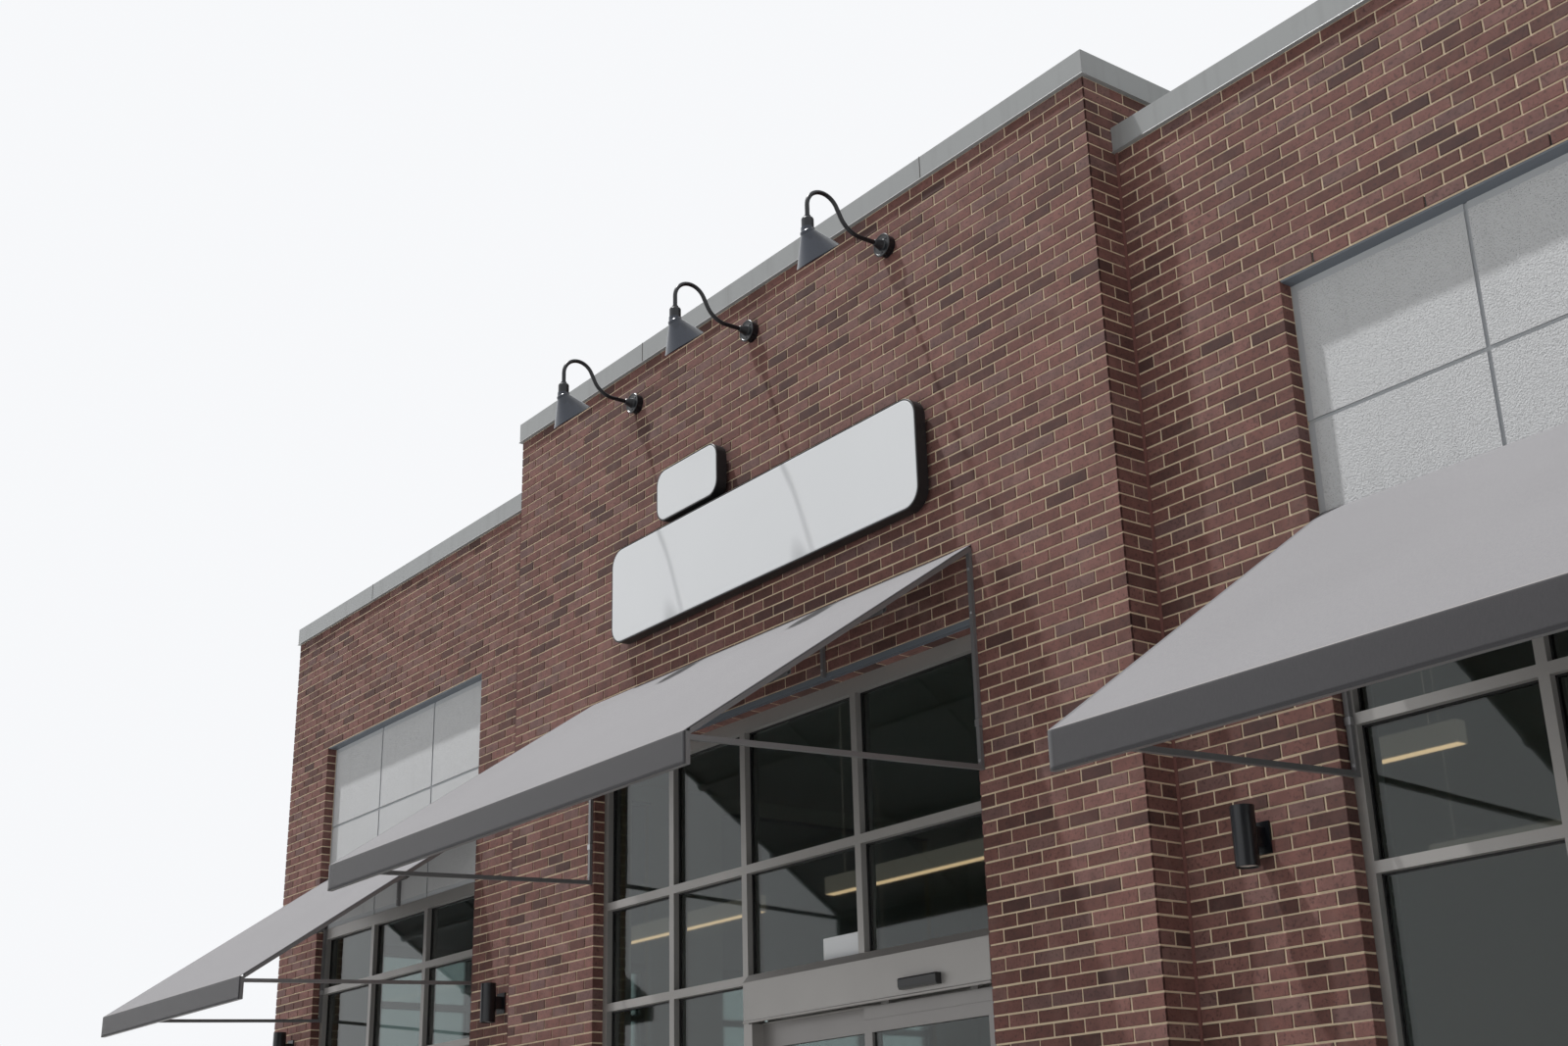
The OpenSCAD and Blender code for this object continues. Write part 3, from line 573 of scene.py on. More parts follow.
def brick_face(origin, along, knots, halves, z0, z1, holes=(), corners=(True, True),
               seed=0, phase=0):
    """A face in running bond with the jambs of its openings."""
    origin, along = np.array(origin, float), np.array(along, float)
    out = np.cross(along, UP)
    near, far = PROUD - CORNER_GAP, recess - FRAME_GAP
    parts = [running_bond(origin, along, knots, halves, z0, z1, holes, corners, seed, phase)]
    for h0, h1, hz0, hz1 in holes:
        top = max(hz0, z0)
        parts.append(jamb_bricks(origin + h0 * along, -out, (-near, far), top, hz1))
        parts.append(jamb_bricks(origin + h1 * along, out, (-far, near), top, hz1))
    return parts


print("mortar lies", round(1000 * PROUD), "mm behind the bricks")

# %% [markdown]
# ## Brick on every side
# The front steps out in the middle, so it is laid in three pieces, and the
# bay's sides and its parapet's returns go with it. The wings mirror each
# other. The two sides and the back are plain, with windows like the wings'.
# All share one way of counting, so that courses run round every corner.

# %% Upright edges of the faces
SEAL = 0.022
pier_out, pier_in, wing_w = end_x - light_x1, light_x0 - bay_x, end_x - bay_x
steel_z = np.ceil(open_z / COURSE) * COURSE
far_bay = 2 * end_x - pier_out - bay_w
side_windows = (side_pier, 2 * side_pier + bay_w)
side = [0, side_pier, side_pier + bay_w, 2 * side_pier + bay_w, 2 * side_pier + 2 * bay_w, back_y]
SIDE_HALVES = [0, 9, 37, 45, 73, 82]
# Where each face starts, its way, its upright edges, half bricks to each, and its windows
FACES = {
    "right_wing": ((bay_x, 0), (1, 0), [SEAL, pier_in, pier_in + bay_w, wing_w], [0, 9, 37, 45],
                   (pier_in,)),
    "left_wing": ((-end_x, 0), (1, 0), [0, pier_out, pier_out + bay_w, wing_w - SEAL],
                  [0, 8, 36, 45], (pier_out,)),
    "right_side": ((end_x, 0), (0, 1), side, SIDE_HALVES, side_windows),
    "left_side": ((-end_x, back_y), (0, -1), side, SIDE_HALVES, side_windows),
    "back": ((end_x, back_y), (-1, 0), [0, pier_out, pier_out + bay_w, far_bay, far_bay + bay_w,
                                        2 * end_x], [0, 8, 36, 113, 141, 149],
             (pier_out, far_bay)),
}
print("piers of the wings", round(pier_out, 3), "and", round(pier_in, 3))

# %% Brick the walls
door_hole = (bay_x - open_x, bay_x + open_x, -1.0, steel_z)
entrance = brick_face((-bay_x, bay_y, 0), (1, 0, 0), [0, bay_x - open_x, bay_x + open_x, 2 * bay_x],
                      [0, 11, 48, 59], 0, tall_z, [door_hole], seed=1)
for s, y, turns in ((1, bay_y, (True, False)), (-1, 0, (False, True))):
    entrance.append(running_bond((s * bay_x, y, 0), (0, s, 0), [0, -bay_y], [0, 2], 0, tall_z,
                                 corners=turns, seed=2 + s, phase=int(s < 0)))
for s, y, turns in ((1, 0, (False, True)), (-1, return_y, (True, False))):
    entrance.append(running_bond((s * bay_x, y, 0), (0, s, 0), [0, return_y], [0, 16],
                                 low_top, tall_z, corners=turns, seed=5 + s))
for x in (bay_x, wall_t - bay_x):
    entrance.append(running_bond((x, return_y, 0), (-1, 0, 0), [0, wall_t], [0, 3],
                                 roof_z, return_top, seed=int(20 + x)))
walls = {"entrance_bricks": entrance}
for name, laying in (("right_wing", {"corners": (False, True), "seed": 6}),
                     ("left_wing", {"corners": (True, False), "seed": 7}),
                     ("right_side", {"seed": 8}), ("left_side", {"seed": 9, "phase": 1}),
                     ("back", {"seed": 10, "phase": 1})):
    start_at, along, knots, halves, windows = FACES[name]
    holes = [(u, u + bay_w, apron_z, head_z) for u in windows]
    walls[name + "_bricks"] = brick_face(on_plan(*start_at), on_plan(*along), knots, halves, 0,
                                         low_z, holes, **laying)


def join_arrays(parts):
    """Stacks (points, quads, tints) of several parts into one."""
    starts = np.cumsum([0] + [len(points) for points, _, _ in parts])
    quads = [q + n for (_, q, _), n in zip(parts, starts)]
    return (np.concatenate([p for p, _, _ in parts]), np.concatenate(quads),
            np.concatenate([t for _, _, t in parts]))


for name, parts in walls.items():
    points, quads, tints = join_arrays(parts)
    make_piece(name, points, quads.tolist(), brick_finish, slot="brick", marks={"tint": tints})
    print(len(points) // 12, "bricks")

# %% [markdown]
# ## Coping, render, concrete and roof
# The rest of the shell is plainer. Coping is factory-painted sheet with a
# faint waviness, cast concrete has pores, and the roof is a membrane whose
# sheets lap every few metres. The panels are sand-finished render, and their
# grooves and reveals are smooth and painted a little darker and bluer, as
# painted shade in the recesses. That could take two materials, but the panel is
# one solid, so one finish finds the grooves by how far they lie behind the
# panel's face.

# %% Coping and concrete
coping_finish, tree, shader, place = start("coping_paint", 0.38, Coat_Weight=0.15)
tone = weathered(tree, place, patchy(tree, place, srgb(152, 154, 154), 0.035, 1.4), 0.22)
paint(tree, shader, tone)
bump(tree, shader, noise(tree, place, 1.6, 1.0), 0.004, 0.5)
dress(["entrance_coping", "low_coping"], coping_finish)

concrete_finish, tree, shader, place = start("cast_concrete", 0.8)
tone = patchy(tree, place, srgb(186, 182, 172), 0.10, 2.5)
paint(tree, shader, tone)
bump(tree, shader, grain(tree, place, 160.0)["Height"], 0.0012)
dress(["floor_slab", "window_sills"], concrete_finish)

# %% Rendered panels
render_finish, tree, shader, place = start("sand_render", 0.92)
parts = tree.nodes.new("ShaderNodeSeparateXYZ")
feed(tree, place, parts.inputs[0])
gaps = [math_node(tree, "ABSOLUTE", math_node(tree, "SUBTRACT", at, float(face)))
        for at, face in ((parts.outputs["Y"], recess), (parts.outputs["Y"], back_y - recess),
                         (math_node(tree, "ABSOLUTE", parts.outputs["X"]), end_x - recess))]
behind = math_node(tree, "MINIMUM", math_node(tree, "MINIMUM", *gaps[:2]), gaps[2])
smooth = soft_step(tree, behind, 0.001, 0.0035)
tone = weathered(tree, place, patchy(tree, place, srgb(204, 205, 206), 0.03, 1.1), 0.06)
# The grooves and reveals are painted a little darker and bluer than the face: painted shade in the
# recesses.
paint(tree, shader, mix_colour(tree, smooth, tone, srgb(186, 189, 192)))
sand = product(tree, grain(tree, place, 115.0)["Height"], inverse(tree, smooth))
bump(tree, shader, sand, 0.0042)
dress(["left_wing_panel", "right_wing_panel", "side_and_back_panels"], render_finish)

# %% Roof membrane
# The wave texture has one wave to this length at scale 1
WAVE = np.pi / 10
SHEETS = 0.131
roof_finish, tree, shader, place = start("roof_membrane", 0.7)
sheets = tree.nodes.new("ShaderNodeTexWave")
sheets.wave_profile, sheets.bands_direction = "SAW", "X"
sheets.inputs["Scale"].default_value = SHEETS
feed(tree, place, sheets.inputs["Vector"])
lap = product(tree, soft_step(tree, sheets.outputs["Fac"], 0.985, 0.995), 0.35)
tone = patchy(tree, place, srgb(174, 175, 172), 0.10, 0.8)
paint(tree, shader, mix_colour(tree, lap, tone, srgb(120, 120, 116)))
ripple = math_node(tree, "ADD", sheets.outputs["Fac"], noise(tree, place, 3.0))
bump(tree, shader, ripple, 0.002)
dress(["roof_deck"], roof_finish)
print("sheets", round(WAVE / SHEETS, 2), "m wide")

# %% [markdown]
# ## Metals
# Frames are clear anodised aluminium, the lamps are enamelled or powder
# coated, and the steel is painted. Each could be wired by hand, but they
# differ only in a few numbers, so one function makes them all: a patchy tone,
# a gloss that comes and goes, and faint grain, drawn out where metal is brushed.

# %% Metal finishes
def metal(name, colour, roughness, metallic=0.0, brush=(1, 1, 1), grain_scale=90.0, coat=0.0):
    """A painted or anodised metal with faint grain and patchy gloss."""
    material, tree, shader, place = start(name, roughness, metallic, Coat_Weight=coat)
    paint(tree, shader, patchy(tree, place, colour, 0.05, 2.2))
    gloss = math_node(tree, "MULTIPLY_ADD", noise(tree, place, 3.0), 0.16, roughness - 0.08)
    feed(tree, gloss, shader.inputs["Roughness"])
    bump(tree, shader, noise(tree, place, grain_scale, 2.0, brush), 0.0004, 0.4)
    return material


AWNINGS = ["entrance_awning", "left_awning", "right_awning"]
ENAMEL_GRAIN = 420.0
lintel_finish = metal("lintel_paint", srgb(110, 116, 124), 0.5, 0.1)
black_finish = metal("black_powder_coat", srgb(10, 13, 19), 0.34, grain_scale=ENAMEL_GRAIN, coat=0.12)
# The frame aluminium is painted a little darker and warmer than its own colour: painted shade and
# warm bounce light.
dress(["side_screen_frame", "over_door_frame", "door_jambs", "wing_window_frames",
       "side_and_back_frames", "door_threshold", "door_header"],
      metal("anodised_frame_painted_shade", srgb(160, 157, 154), 0.42, 0.45, (1, 1, 0.1)))
# The doors' copy of the same aluminium is painted darker still: painted shade under the awning.
dress(["fixed_leaf", "sliding_leaf"],
      metal("anodised_door_painted_shade", srgb(140, 137, 135), 0.40, 0.45, (1, 1, 0.1)))
dress(["steel_lintels"], lintel_finish)
dress([awning + "_frame" for awning in AWNINGS],
      metal("awning_tube", srgb(128, 127, 128), 0.45, 0.5, (0.2, 1, 1)))
dress(["lamp_arms", "wall_sconces"], black_finish)
dress(["lamp_shades"],
      metal("slate_enamel", srgb(28, 37, 53), 0.25, grain_scale=ENAMEL_GRAIN, coat=0.35))
dress(["door_sensor"], metal("sensor_case", srgb(14, 14, 15), 0.36, coat=0.1))

# %% [markdown]
# ## Glass
# The panes look dark because the rooms behind are dim. Black paint would do
# from afar, but real glass lets the hanging lamps and the far windows show, so
# the shader passes light, with a grey-green tint and a slow waviness.

# %% Glass finish
glass_finish, tree, shader, place = start("tinted_glass", 0.03, Transmission_Weight=1.0, IOR=1.5)
tone = patchy(tree, place, (0.30, 0.36, 0.35, 1), 0.03, 1.0)
paint(tree, shader, tone)
bump(tree, shader, noise(tree, place, 1.3, 1.0), 0.0015, 0.25)
dress(["storefront_glass", "wing_window_glass", "side_and_back_glass",
       "fixed_leaf_glass", "sliding_leaf_glass"], glass_finish)

# %% [markdown]
# ## Awning cloth: the finish
# The covers are acrylic canvas, woven from threads of mixed greys. The weave
# is two crossed waves in the bump, along the cloth's own UV map in metres, so
# it follows the cloth over the nose. Slubs and flecks mix a dark and a light
# grey. Marks on the points tell the finish where the hems are and where the
# nose is: a dark welt runs down the sides and a light piping along the nose.
# The one cloth is painted lighter on the slope, as painted sunlight, and
# darker on the valance, as painted shade.

# %% Awning cloth finish
cloth_finish, tree, shader, place = start("awning_canvas", 0.9, Sheen_Weight=0.15,
                                          Sheen_Roughness=0.6)
uv = tree.nodes.new("ShaderNodeUVMap").outputs["UV"]
THREADS = 190.0
threads = []
for way in ("X", "Y"):
    wave = tree.nodes.new("ShaderNodeTexWave")
    wave.bands_direction = way
    for title, value in (("Vector", uv), ("Scale", THREADS), ("Distortion", 0.4)):
        feed(tree, value, wave.inputs[title])
    threads.append(wave.outputs["Fac"])
weave = product(tree, *threads)
slub = noise(tree, uv, 150.0, 4.0, (1.0, 0.22, 1.0))
fleck = noise(tree, uv, 420.0, 2.0, (0.3, 1.0, 1.0))
heather = product(tree, math_node(tree, "ADD", slub, fleck), 0.5)
# The slope's lighter greys are painted sunlight and the valance's darker greys painted shade, on one
# cloth.
slope_painted_sunlit_tone = patchy(tree, place, mix_colour(tree, heather, srgb(106, 105, 108), srgb(150, 148, 150)),
                    0.05, 1.5)
valance_painted_shade_tone = mix_colour(tree, heather, srgb(42, 41, 45), srgb(68, 66, 69))
below = mark(tree, "below_nose")
tone = mix_colour(tree, soft_step(tree, below, 0.0, 0.006), slope_painted_sunlit_tone, valance_painted_shade_tone)
welt = inverse(tree, soft_step(tree, mark(tree, "from_edge"), 0.024, 0.027))
tone = mix_colour(tree, product(tree, welt, 0.5), tone, srgb(58, 58, 62))
piping = inverse(tree, soft_step(tree, math_node(tree, "ABSOLUTE", below), 0.0015, 0.0035))
tone = mix_colour(tree, product(tree, piping, 0.45), tone, srgb(196, 186, 178))
paint(tree, shader, tone)
bump(tree, shader, math_node(tree, "ADD", weave, product(tree, welt, 1.5)), 0.0006, 0.6)
print("threads every", round(1000 * WAVE / THREADS, 1), "mm")

# %% [markdown]
# ## Awning cloth: the shape
# Each cover is one piece of cloth, laced tight over its tube frame: down the
# slope, over the front bar and down the valance. A simulation would find the
# same shape slowly, because a stretched cloth hardly moves. So the form is
# worked out: a profile down the cloth, and a sag of a few millimetres between
# the rafters. Solidify gives it its thickness.

# %% Profile of a cover
NOSE_R, VALANCE, SAG, CLOTH_T = 0.012, 0.155, 0.0035, 0.0016
HEM, WELT_IN, WELT_OUT = 0.018, 0.023, 0.028


def cover_profile(wall_top, nose):
    """Points (y, z) down the cloth, how far down each lies, the slope's length, where the
    nose starts, and the slope's normal. The nose is a quadratic curve that leaves the slope
    and meets the valance at the same distance from their meeting point."""
    run = nose - wall_top
    slope_len = float(np.hypot(*run))
    down = run / slope_len
    turn = np.arctan2(abs(down[0]), abs(down[1]))
    cut = NOSE_R * np.tan(turn / 2)
    drop = np.linspace(cut, VALANCE, 9)
    on_slope = wall_top + np.linspace(0, slope_len - cut, 60)[:, None] * down
    on_valance = nose + np.stack([np.zeros_like(drop), -drop], 1)
    arc = np.linspace(0, 1, 7)[1:-1, None]
    on_nose = (1 - arc) ** 2 * on_slope[-1] + 2 * arc * (1 - arc) * nose + arc ** 2 * on_valance[0]
    path = np.concatenate([on_slope, on_nose, on_valance])
    length = np.concatenate([[0], np.cumsum(np.hypot(*np.diff(path, axis=0).T))])
    normal = np.array([-abs(down[1]), abs(down[0])])
    return path, length, slope_len, slope_len - cut, normal


print("the valance hangs", VALANCE, "m")


# %% The covers
def cloth_cover(name, node, bays):
    """The cover as a function of s, across, and t, down the profile. The sag is a sine
    between rafters, a little sharpened, times a sine down the slope."""
    low, high = box(node)
    width = high[0] - low[0]
    path, length, slope_len, nose_at, normal = cover_profile(
        np.array([high[1], high[2]]), np.array([low[1], low[2] + VALANCE]))
    margin = np.array([0.0, WELT_IN, WELT_OUT])
    s = np.unique(np.concatenate([np.linspace(0, width, 24 * bays + 1), margin, width - margin]))
    sag = np.sin(np.pi * ((s / width * bays) % 1.0)) ** 1.2
    fall = np.where(length < slope_len, np.sin(np.pi * np.clip(length / slope_len, 0, 1)), 0)
    depth = SAG * fall[:, None] * sag[None, :]
    across, along = np.broadcast_arrays(s[None, :], length[:, None])
    points = np.stack([low[0] + across, path[:, :1] - depth * normal[0],
                       path[:, 1:] - depth * normal[1]], -1)
    index = np.arange(depth.size).reshape(depth.shape)
    quads = np.stack([index[:-1, :-1], index[1:, :-1], index[1:, 1:], index[:-1, 1:]], -1)
    from_edge = np.minimum(np.minimum(across, width - across), HEM + length[-1] - along)
    quads = quads.reshape(-1, 4)
    cover = make_piece(name, points, quads.tolist(), cloth_finish, slot="awning_fabric",
                       smooth=True, marks={"from_edge": from_edge, "below_nose": along - nose_at})
    flat = np.stack([across, along], -1).reshape(-1, 2)
    layer = cover.data.uv_layers.new(name="UVMap")
    layer.data.foreach_set("uv", flat[quads.ravel()].astype(np.float32).ravel())
    solid = cover.modifiers.new("thickness", "SOLIDIFY")
    solid.thickness, solid.offset = CLOTH_T, -1.0
    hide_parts(node)
    print(name, "is", round(width, 3), "by", round(float(length[-1]), 3))


for awning, bays in zip(AWNINGS, (3, 2, 2)):
    cloth_cover(awning + "_cloth", awning + "_cover", bays)

# %% [markdown]
# ## Small parts in three forms
# What is left is made of strips bent along a line, plates with rounded
# corners, and small turned parts such as bolts. Each could be modelled by
# hand. One helper each does them all: it carries a section along a path, lays
# out a plate's edge, or spins a profile round an axis. All three give rings of
# points, which one function joins into a closed skin.

# %% Skins and strips
def skin(rings):
    """Joins rings of equal size and closes both ends with one face each. Returns points
    and a list of faces."""
    rings = np.asarray(rings, float)
    index = np.arange(rings.shape[0] * rings.shape[1]).reshape(rings.shape[:2])
    nxt = np.roll(index, -1, axis=1)
    quads = np.stack([index[:-1], nxt[:-1], nxt[1:], index[1:]], -1).reshape(-1, 4)
    ends = [index[0][::-1].tolist(), index[-1].tolist()]
    return rings.reshape(-1, 3), quads.tolist() + ends


def sweep(path, section, side):
    """Carries a closed section along a path. At each path point the section's first
    number goes along side, and its second along the outward bisector of the path's two
    edges, stretched so that the corners are true mitres. Returns points and faces."""
    path, section, side = (np.asarray(a, float) for a in (path, section, side))
    step = np.diff(path, axis=0)
    step /= np.linalg.norm(step, axis=1)[:, None]
    normal = np.cross(step, side)
    before = np.vstack([normal[:1], normal])
    bisector = before + np.vstack([normal, normal[-1:]])
    bisector /= (np.sum(bisector * before, axis=1))[:, None]
    return skin(path[:, None] + section[None, :, :1] * side
                + section[None, :, 1:] * bisector[:, None])


print("a strip of one piece has", len(sweep([[0, 0, 0], [1, 0, 0]], np.eye(3)[:, :2], UP)[1]),
      "faces")


# %% Plates and turned parts
def plate_outline(width, height, radius, steps=6):
    """A rectangle with rounded corners, counter-clockwise, as (n, 2) about its middle:
    quarter circles of the radius round the four inset corners."""
    turn = np.linspace(0, np.pi / 2, steps)
    corner = np.array([[1, 1], [-1, 1], [-1, -1], [1, -1]])
    angle = turn[None] + np.arange(4)[:, None] * np.pi / 2
    mid = corner * (np.array([width, height]) / 2 - radius)
    return (mid[:, None] + radius * np.stack([np.cos(angle), np.sin(angle)], -1)).reshape(-1, 2)


def turned(centre, axis, profile, sides=12):
    """Spins a profile of (radius, height) pairs round an axis through the centre."""
    axis, profile = np.asarray(axis, float), np.asarray(profile, float)
    across = np.cross(axis, UP if abs(axis[2]) < 0.9 else np.array([1.0, 0, 0]))
    across /= np.linalg.norm(across)
    third = np.cross(axis, across)
    angle = np.arange(sides) * 2 * np.pi / sides
    ring = np.cos(angle)[:, None] * across + np.sin(angle)[:, None] * third
    return skin(np.asarray(centre, float) + profile[:, :1, None] * ring[None]
                + profile[:, 1:, None] * axis)


def place_parts(name, parts, material):
    """Joins (points, faces) parts into one flat-shaded piece."""
    starts = np.cumsum([0] + [len(points) for points, _ in parts])
    faces = [[v + n for v in face] for (_, part), n in zip(parts, starts.tolist()) for face in part]
    make_piece(name, np.concatenate([points for points, _ in parts]), faces, material)


print("a bolt's skin has", len(turned((0, 0, 0), UP, [(1, 0), (1, 1)], 6)[1]), "faces")

# %% [markdown]
# ## Seals round the glass
# Every pane is held by black rubber on both sides. From the street that is a
# thin dark line between the metal and the glass, and it makes the bars look
# crisp. It could be painted on the glass by a mask, but a strip has a real
# edge. The panes are found from the frames' bars, and four thin boxes go round
# each, in front and behind.

# %% Where the panes are
FRAME_FACE, HEAD_FACE, FRAME_DEEP, GLASS_T = 0.051, 0.090, 0.114, 0.025
TRANSOMS = (2.722, 3.364)
screen_low, screen_high = box("side_screen_frame")
door_left, _, over_door_z = box("over_door_frame")[0]
window_top = box("wing_window_frames")[1][2]
screen_y = screen_low[1]
glass_gap = (FRAME_DEEP - GLASS_T) / 2


def panes(x0, x1, z0, z1, bars_x, bars_z, left=FRAME_FACE, right=FRAME_FACE):
    """The glass rectangles between the bars of a frame, as rows of u0, u1, z0, z1."""
    bars_x, bars_z = ([b + d for b in bars for d in (-FRAME_FACE / 2, FRAME_FACE / 2)]
                      for bars in (bars_x, bars_z))
    u = np.array([x0 + left, *bars_x, x1 - right]).reshape(-1, 2)
    z = np.array([z0 + FRAME_FACE, *bars_z, z1 - HEAD_FACE]).reshape(-1, 2)
    return np.concatenate([np.repeat(u, len(z), 0), np.tile(z, (len(u), 1))], 1)


window = panes(0, bay_w, sill_z, window_top, (bay_w / 3, 2 * bay_w / 3), TRANSOMS)
spots = [((light_x0, recess), (1, 0)), ((-light_x1, recess), (1, 0)),
         ((light_x1, back_y - recess), (-1, 0)), ((-light_x0, back_y - recess), (-1, 0))]
for s in side_windows:
    spots += [((end_x - recess, s), (0, 1)), ((recess - end_x, back_y - s), (0, -1))]
mid_left, mid_over = (door_left - open_x) / 2, (door_left + open_x - FRAME_FACE) / 2
screen = np.concatenate([
    panes(-open_x, door_left, screen_low[2], screen_high[2], (mid_left,), TRANSOMS),
    panes(door_left, open_x, over_door_z, screen_high[2], (mid_over,), TRANSOMS[1:], 0.0001)])
print(len(spots) * len(window) + len(screen), "panes")

# %% Rubber gaskets
RUBBER, RUBBER_T = 0.008, 0.006


def gasket_boxes(rows, origin, along):
    """Four flat strips in front of each pane, and four behind, as boxes in the room's axes."""
    origin, along = on_plan(*origin), on_plan(*along)
    u0, u1, z0, z1 = rows.T
    inward = -np.cross(along, UP)
    back = glass_gap + GLASS_T
    lows, highs = [], []
    for d0, d1 in ((glass_gap - RUBBER_T, glass_gap), (back, back + RUBBER_T)):
        for a0, a1, b0, b1 in ((u0, u1, z0, z0 + RUBBER), (u0, u1, z1 - RUBBER, z1),
                               (u0, u0 + RUBBER, z0, z1), (u1 - RUBBER, u1, z0, z1)):
            p = origin + a0[:, None] * along + d0 * inward + b0[:, None] * UP
            q = origin + a1[:, None] * along + d1 * inward + b1[:, None] * UP
            lows.append(np.minimum(p, q))
            highs.append(np.maximum(p, q))
    return np.concatenate(lows), np.concatenate(highs)


rubber_finish = metal("black_rubber", srgb(20, 20, 21), 0.6, grain_scale=300.0)
found = [gasket_boxes(window, *spot) for spot in spots]
found.append(gasket_boxes(screen, (0, screen_y), (1, 0)))
make_piece("glazing_gaskets", *boxes(*[np.concatenate(c) for c in zip(*found)]), rubber_finish)

# %% [markdown]
# ## Joints and edges of the brickwork
# A mason leaves some joints open or fills them with other things: a strip of
# sealant where the bay meets the wings, and weep slots over the steel that let
# water out. The steel shows its own edge over the doors. Seen from below they
# are lines of another colour, which is why they are strips of their own. The
# open weep slots are drawn as dark strips: painted shade inside the slots.

# %% Sealant
# Across the joint and out of it: a bead pressed hollow in the middle
bead = np.array([[-0.0085, -0.004], [0.0085, -0.004], [0.0085, 0.0015], [0.003, 0.0],
                 [-0.003, 0.0], [-0.0085, 0.0015]])
beads = []
for s in (-1, 1):
    x = s * (bay_x + (PROUD + SEAL) / 2)
    beads.append(sweep([[x, -0.002, 0.0], [x, -0.002, low_z]], bead, (1, 0, 0)))
place_parts("bay_sealant", beads, metal("brown_sealant", srgb(122, 82, 76), 0.55, grain_scale=60.0))

# %% Weep slots
WEEP_W, WEEP_H, WEEP_OUT, WEEP_UP = 0.007, 0.050, 0.0015, 0.006
WEEP_STEP, WEEP_REACH = 6, 25
weep_z = (np.floor(head_z / COURSE) + 1) * COURSE + WEEP_UP
weeps = []
for face, starts in (("right_wing", (11,)), ("left_wing", (11,)), ("right_side", (11, 47)),
                     ("left_side", (12, 48))):
    origin, along, knots, halves, _ = FACES[face]
    at = np.concatenate([np.arange(s, s + WEEP_REACH, WEEP_STEP) for s in starts])
    u = np.interp(at, halves, knots)
    o, a = on_plan(*origin, weep_z), on_plan(*along)
    p = o + (u - WEEP_W / 2)[:, None] * a
    q = o + (u + WEEP_W / 2)[:, None] * a + WEEP_OUT * np.cross(a, UP) + WEEP_H * UP
    weeps.append((np.minimum(p, q), np.maximum(p, q)))
# Each slot is a dark box in the joint: painted shade of the open slot.
make_piece("weep_slots_painted_shade", *boxes(*[np.concatenate(c) for c in zip(*weeps)]),
           metal("weep_slots_painted_shade", srgb(24, 20, 18), 0.9))

# %% Steel edge over the doors
CLEAR, STEEL_IN, STEEL_OUT = 0.003, 0.012, 0.0035
edge_top, edge_x = steel_z - open_z - CLEAR, open_x - 2 * CLEAR
steel_edge = [[0, -STEEL_IN], [edge_top, -STEEL_IN], [edge_top, STEEL_OUT], [0, STEEL_OUT]]
path = [[-edge_x, bay_y, open_z], [edge_x, bay_y, open_z]]
place_parts("entrance_steel_edge", [sweep(path, steel_edge, UP)], lintel_finish)

# %% [markdown]
# ## Brick soffit over the entrance
# Under the wall over the doors the bricks show from below, side by side, in a
# bed of mortar. It could be left as bare steel, but the photograph looks right
# up at it. The block function serves here too: with along going into the wall
# and up going along the opening, the faces look down.

# %% Soffit bricks and their bed
FRONT_IN, BACK_OFF, LET_IN = 0.004, 0.003, 0.0008
BED_IN, BED_T = 0.006, 0.002
soffit_z = box("steel_lintels")[0][2]
count = int(round(2 * open_x / (2 * HALF)))
ends = np.linspace(-open_x, open_x, count + 1)
same = np.ones(count)
rows = np.stack([FRONT_IN * same, (recess - BACK_OFF) * same, ends[:-1] + JOINT / 2,
                 ends[1:] - JOINT / 2, PROUD * same, np.random.default_rng(33).random(count)], 1)
points, quads, tints = brick_blocks(on_plan(0, bay_y, soffit_z + LET_IN), (0, 1, 0), rows,
                                    up=(1, 0, 0))
make_piece("entrance_soffit_bricks", points, quads.tolist(), brick_finish, slot="brick",
           marks={"tint": tints})
bed = boxes([[-open_x + FRAME_GAP, bay_y + BED_IN, soffit_z - BED_T]],
            [[open_x - FRAME_GAP, bay_y + recess - FRAME_GAP, soffit_z - BED_T / 10]])
make_piece("entrance_soffit_mortar", *bed, mortar_finish)

# %% [markdown]
# ## Joints of the coping
# The folded coping comes in lengths of a few metres, and a dark line crosses
# it where two meet: the narrow gap between them, in shade. A line in the
# material would need its places there too. A thin strip that wraps the sheet
# shows at the edge as well, shaped as a cover strip and painted dark as
# painted shade of the gap.

# %% Coping joints
LIP, FALL, SKIRT = 0.022, 0.014, coping_h - 0.012
# Along the coping and out of it: 4 mm wide, sunk 2 mm and 0.7 mm proud
strip = [[-0.002, -0.002], [0.002, -0.002], [0.002, 0.0007], [-0.002, 0.0007]]


def coping_joint(x, y, along, base):
    """A thin strip that wraps the coping on a wall whose top is at base: up the face, over
    the top and down the back."""
    at, along = on_plan(x, y, base + coping_h), on_plan(*along)
    inward = np.cross(UP, along)
    back = at + (wall_t + LIP) * inward
    path = [at - LIP * inward - SKIRT * UP, at - LIP * inward, back - FALL * UP, back - SKIRT * UP]
    return sweep(path, strip, along)


joints = [coping_joint(x, bay_y, (1, 0), tall_z) for x in (-1.282, 1.695)]
joints += [coping_joint(x, 0, (1, 0), low_z) for x in (-5.984, 5.984)]
joints += [coping_joint(x, back_y, (-1, 0), low_z) for x in np.linspace(-4.5, 4.5, 4)]
joints += [coping_joint(way * end_x, y, (0, way), low_z) for y in (2.75, 5.6) for way in (1, -1)]
# The strips are painted dark: painted shade of the narrow gap where two lengths meet.
place_parts("coping_joints", joints, metal("coping_joint", srgb(84, 80, 76), 0.7))

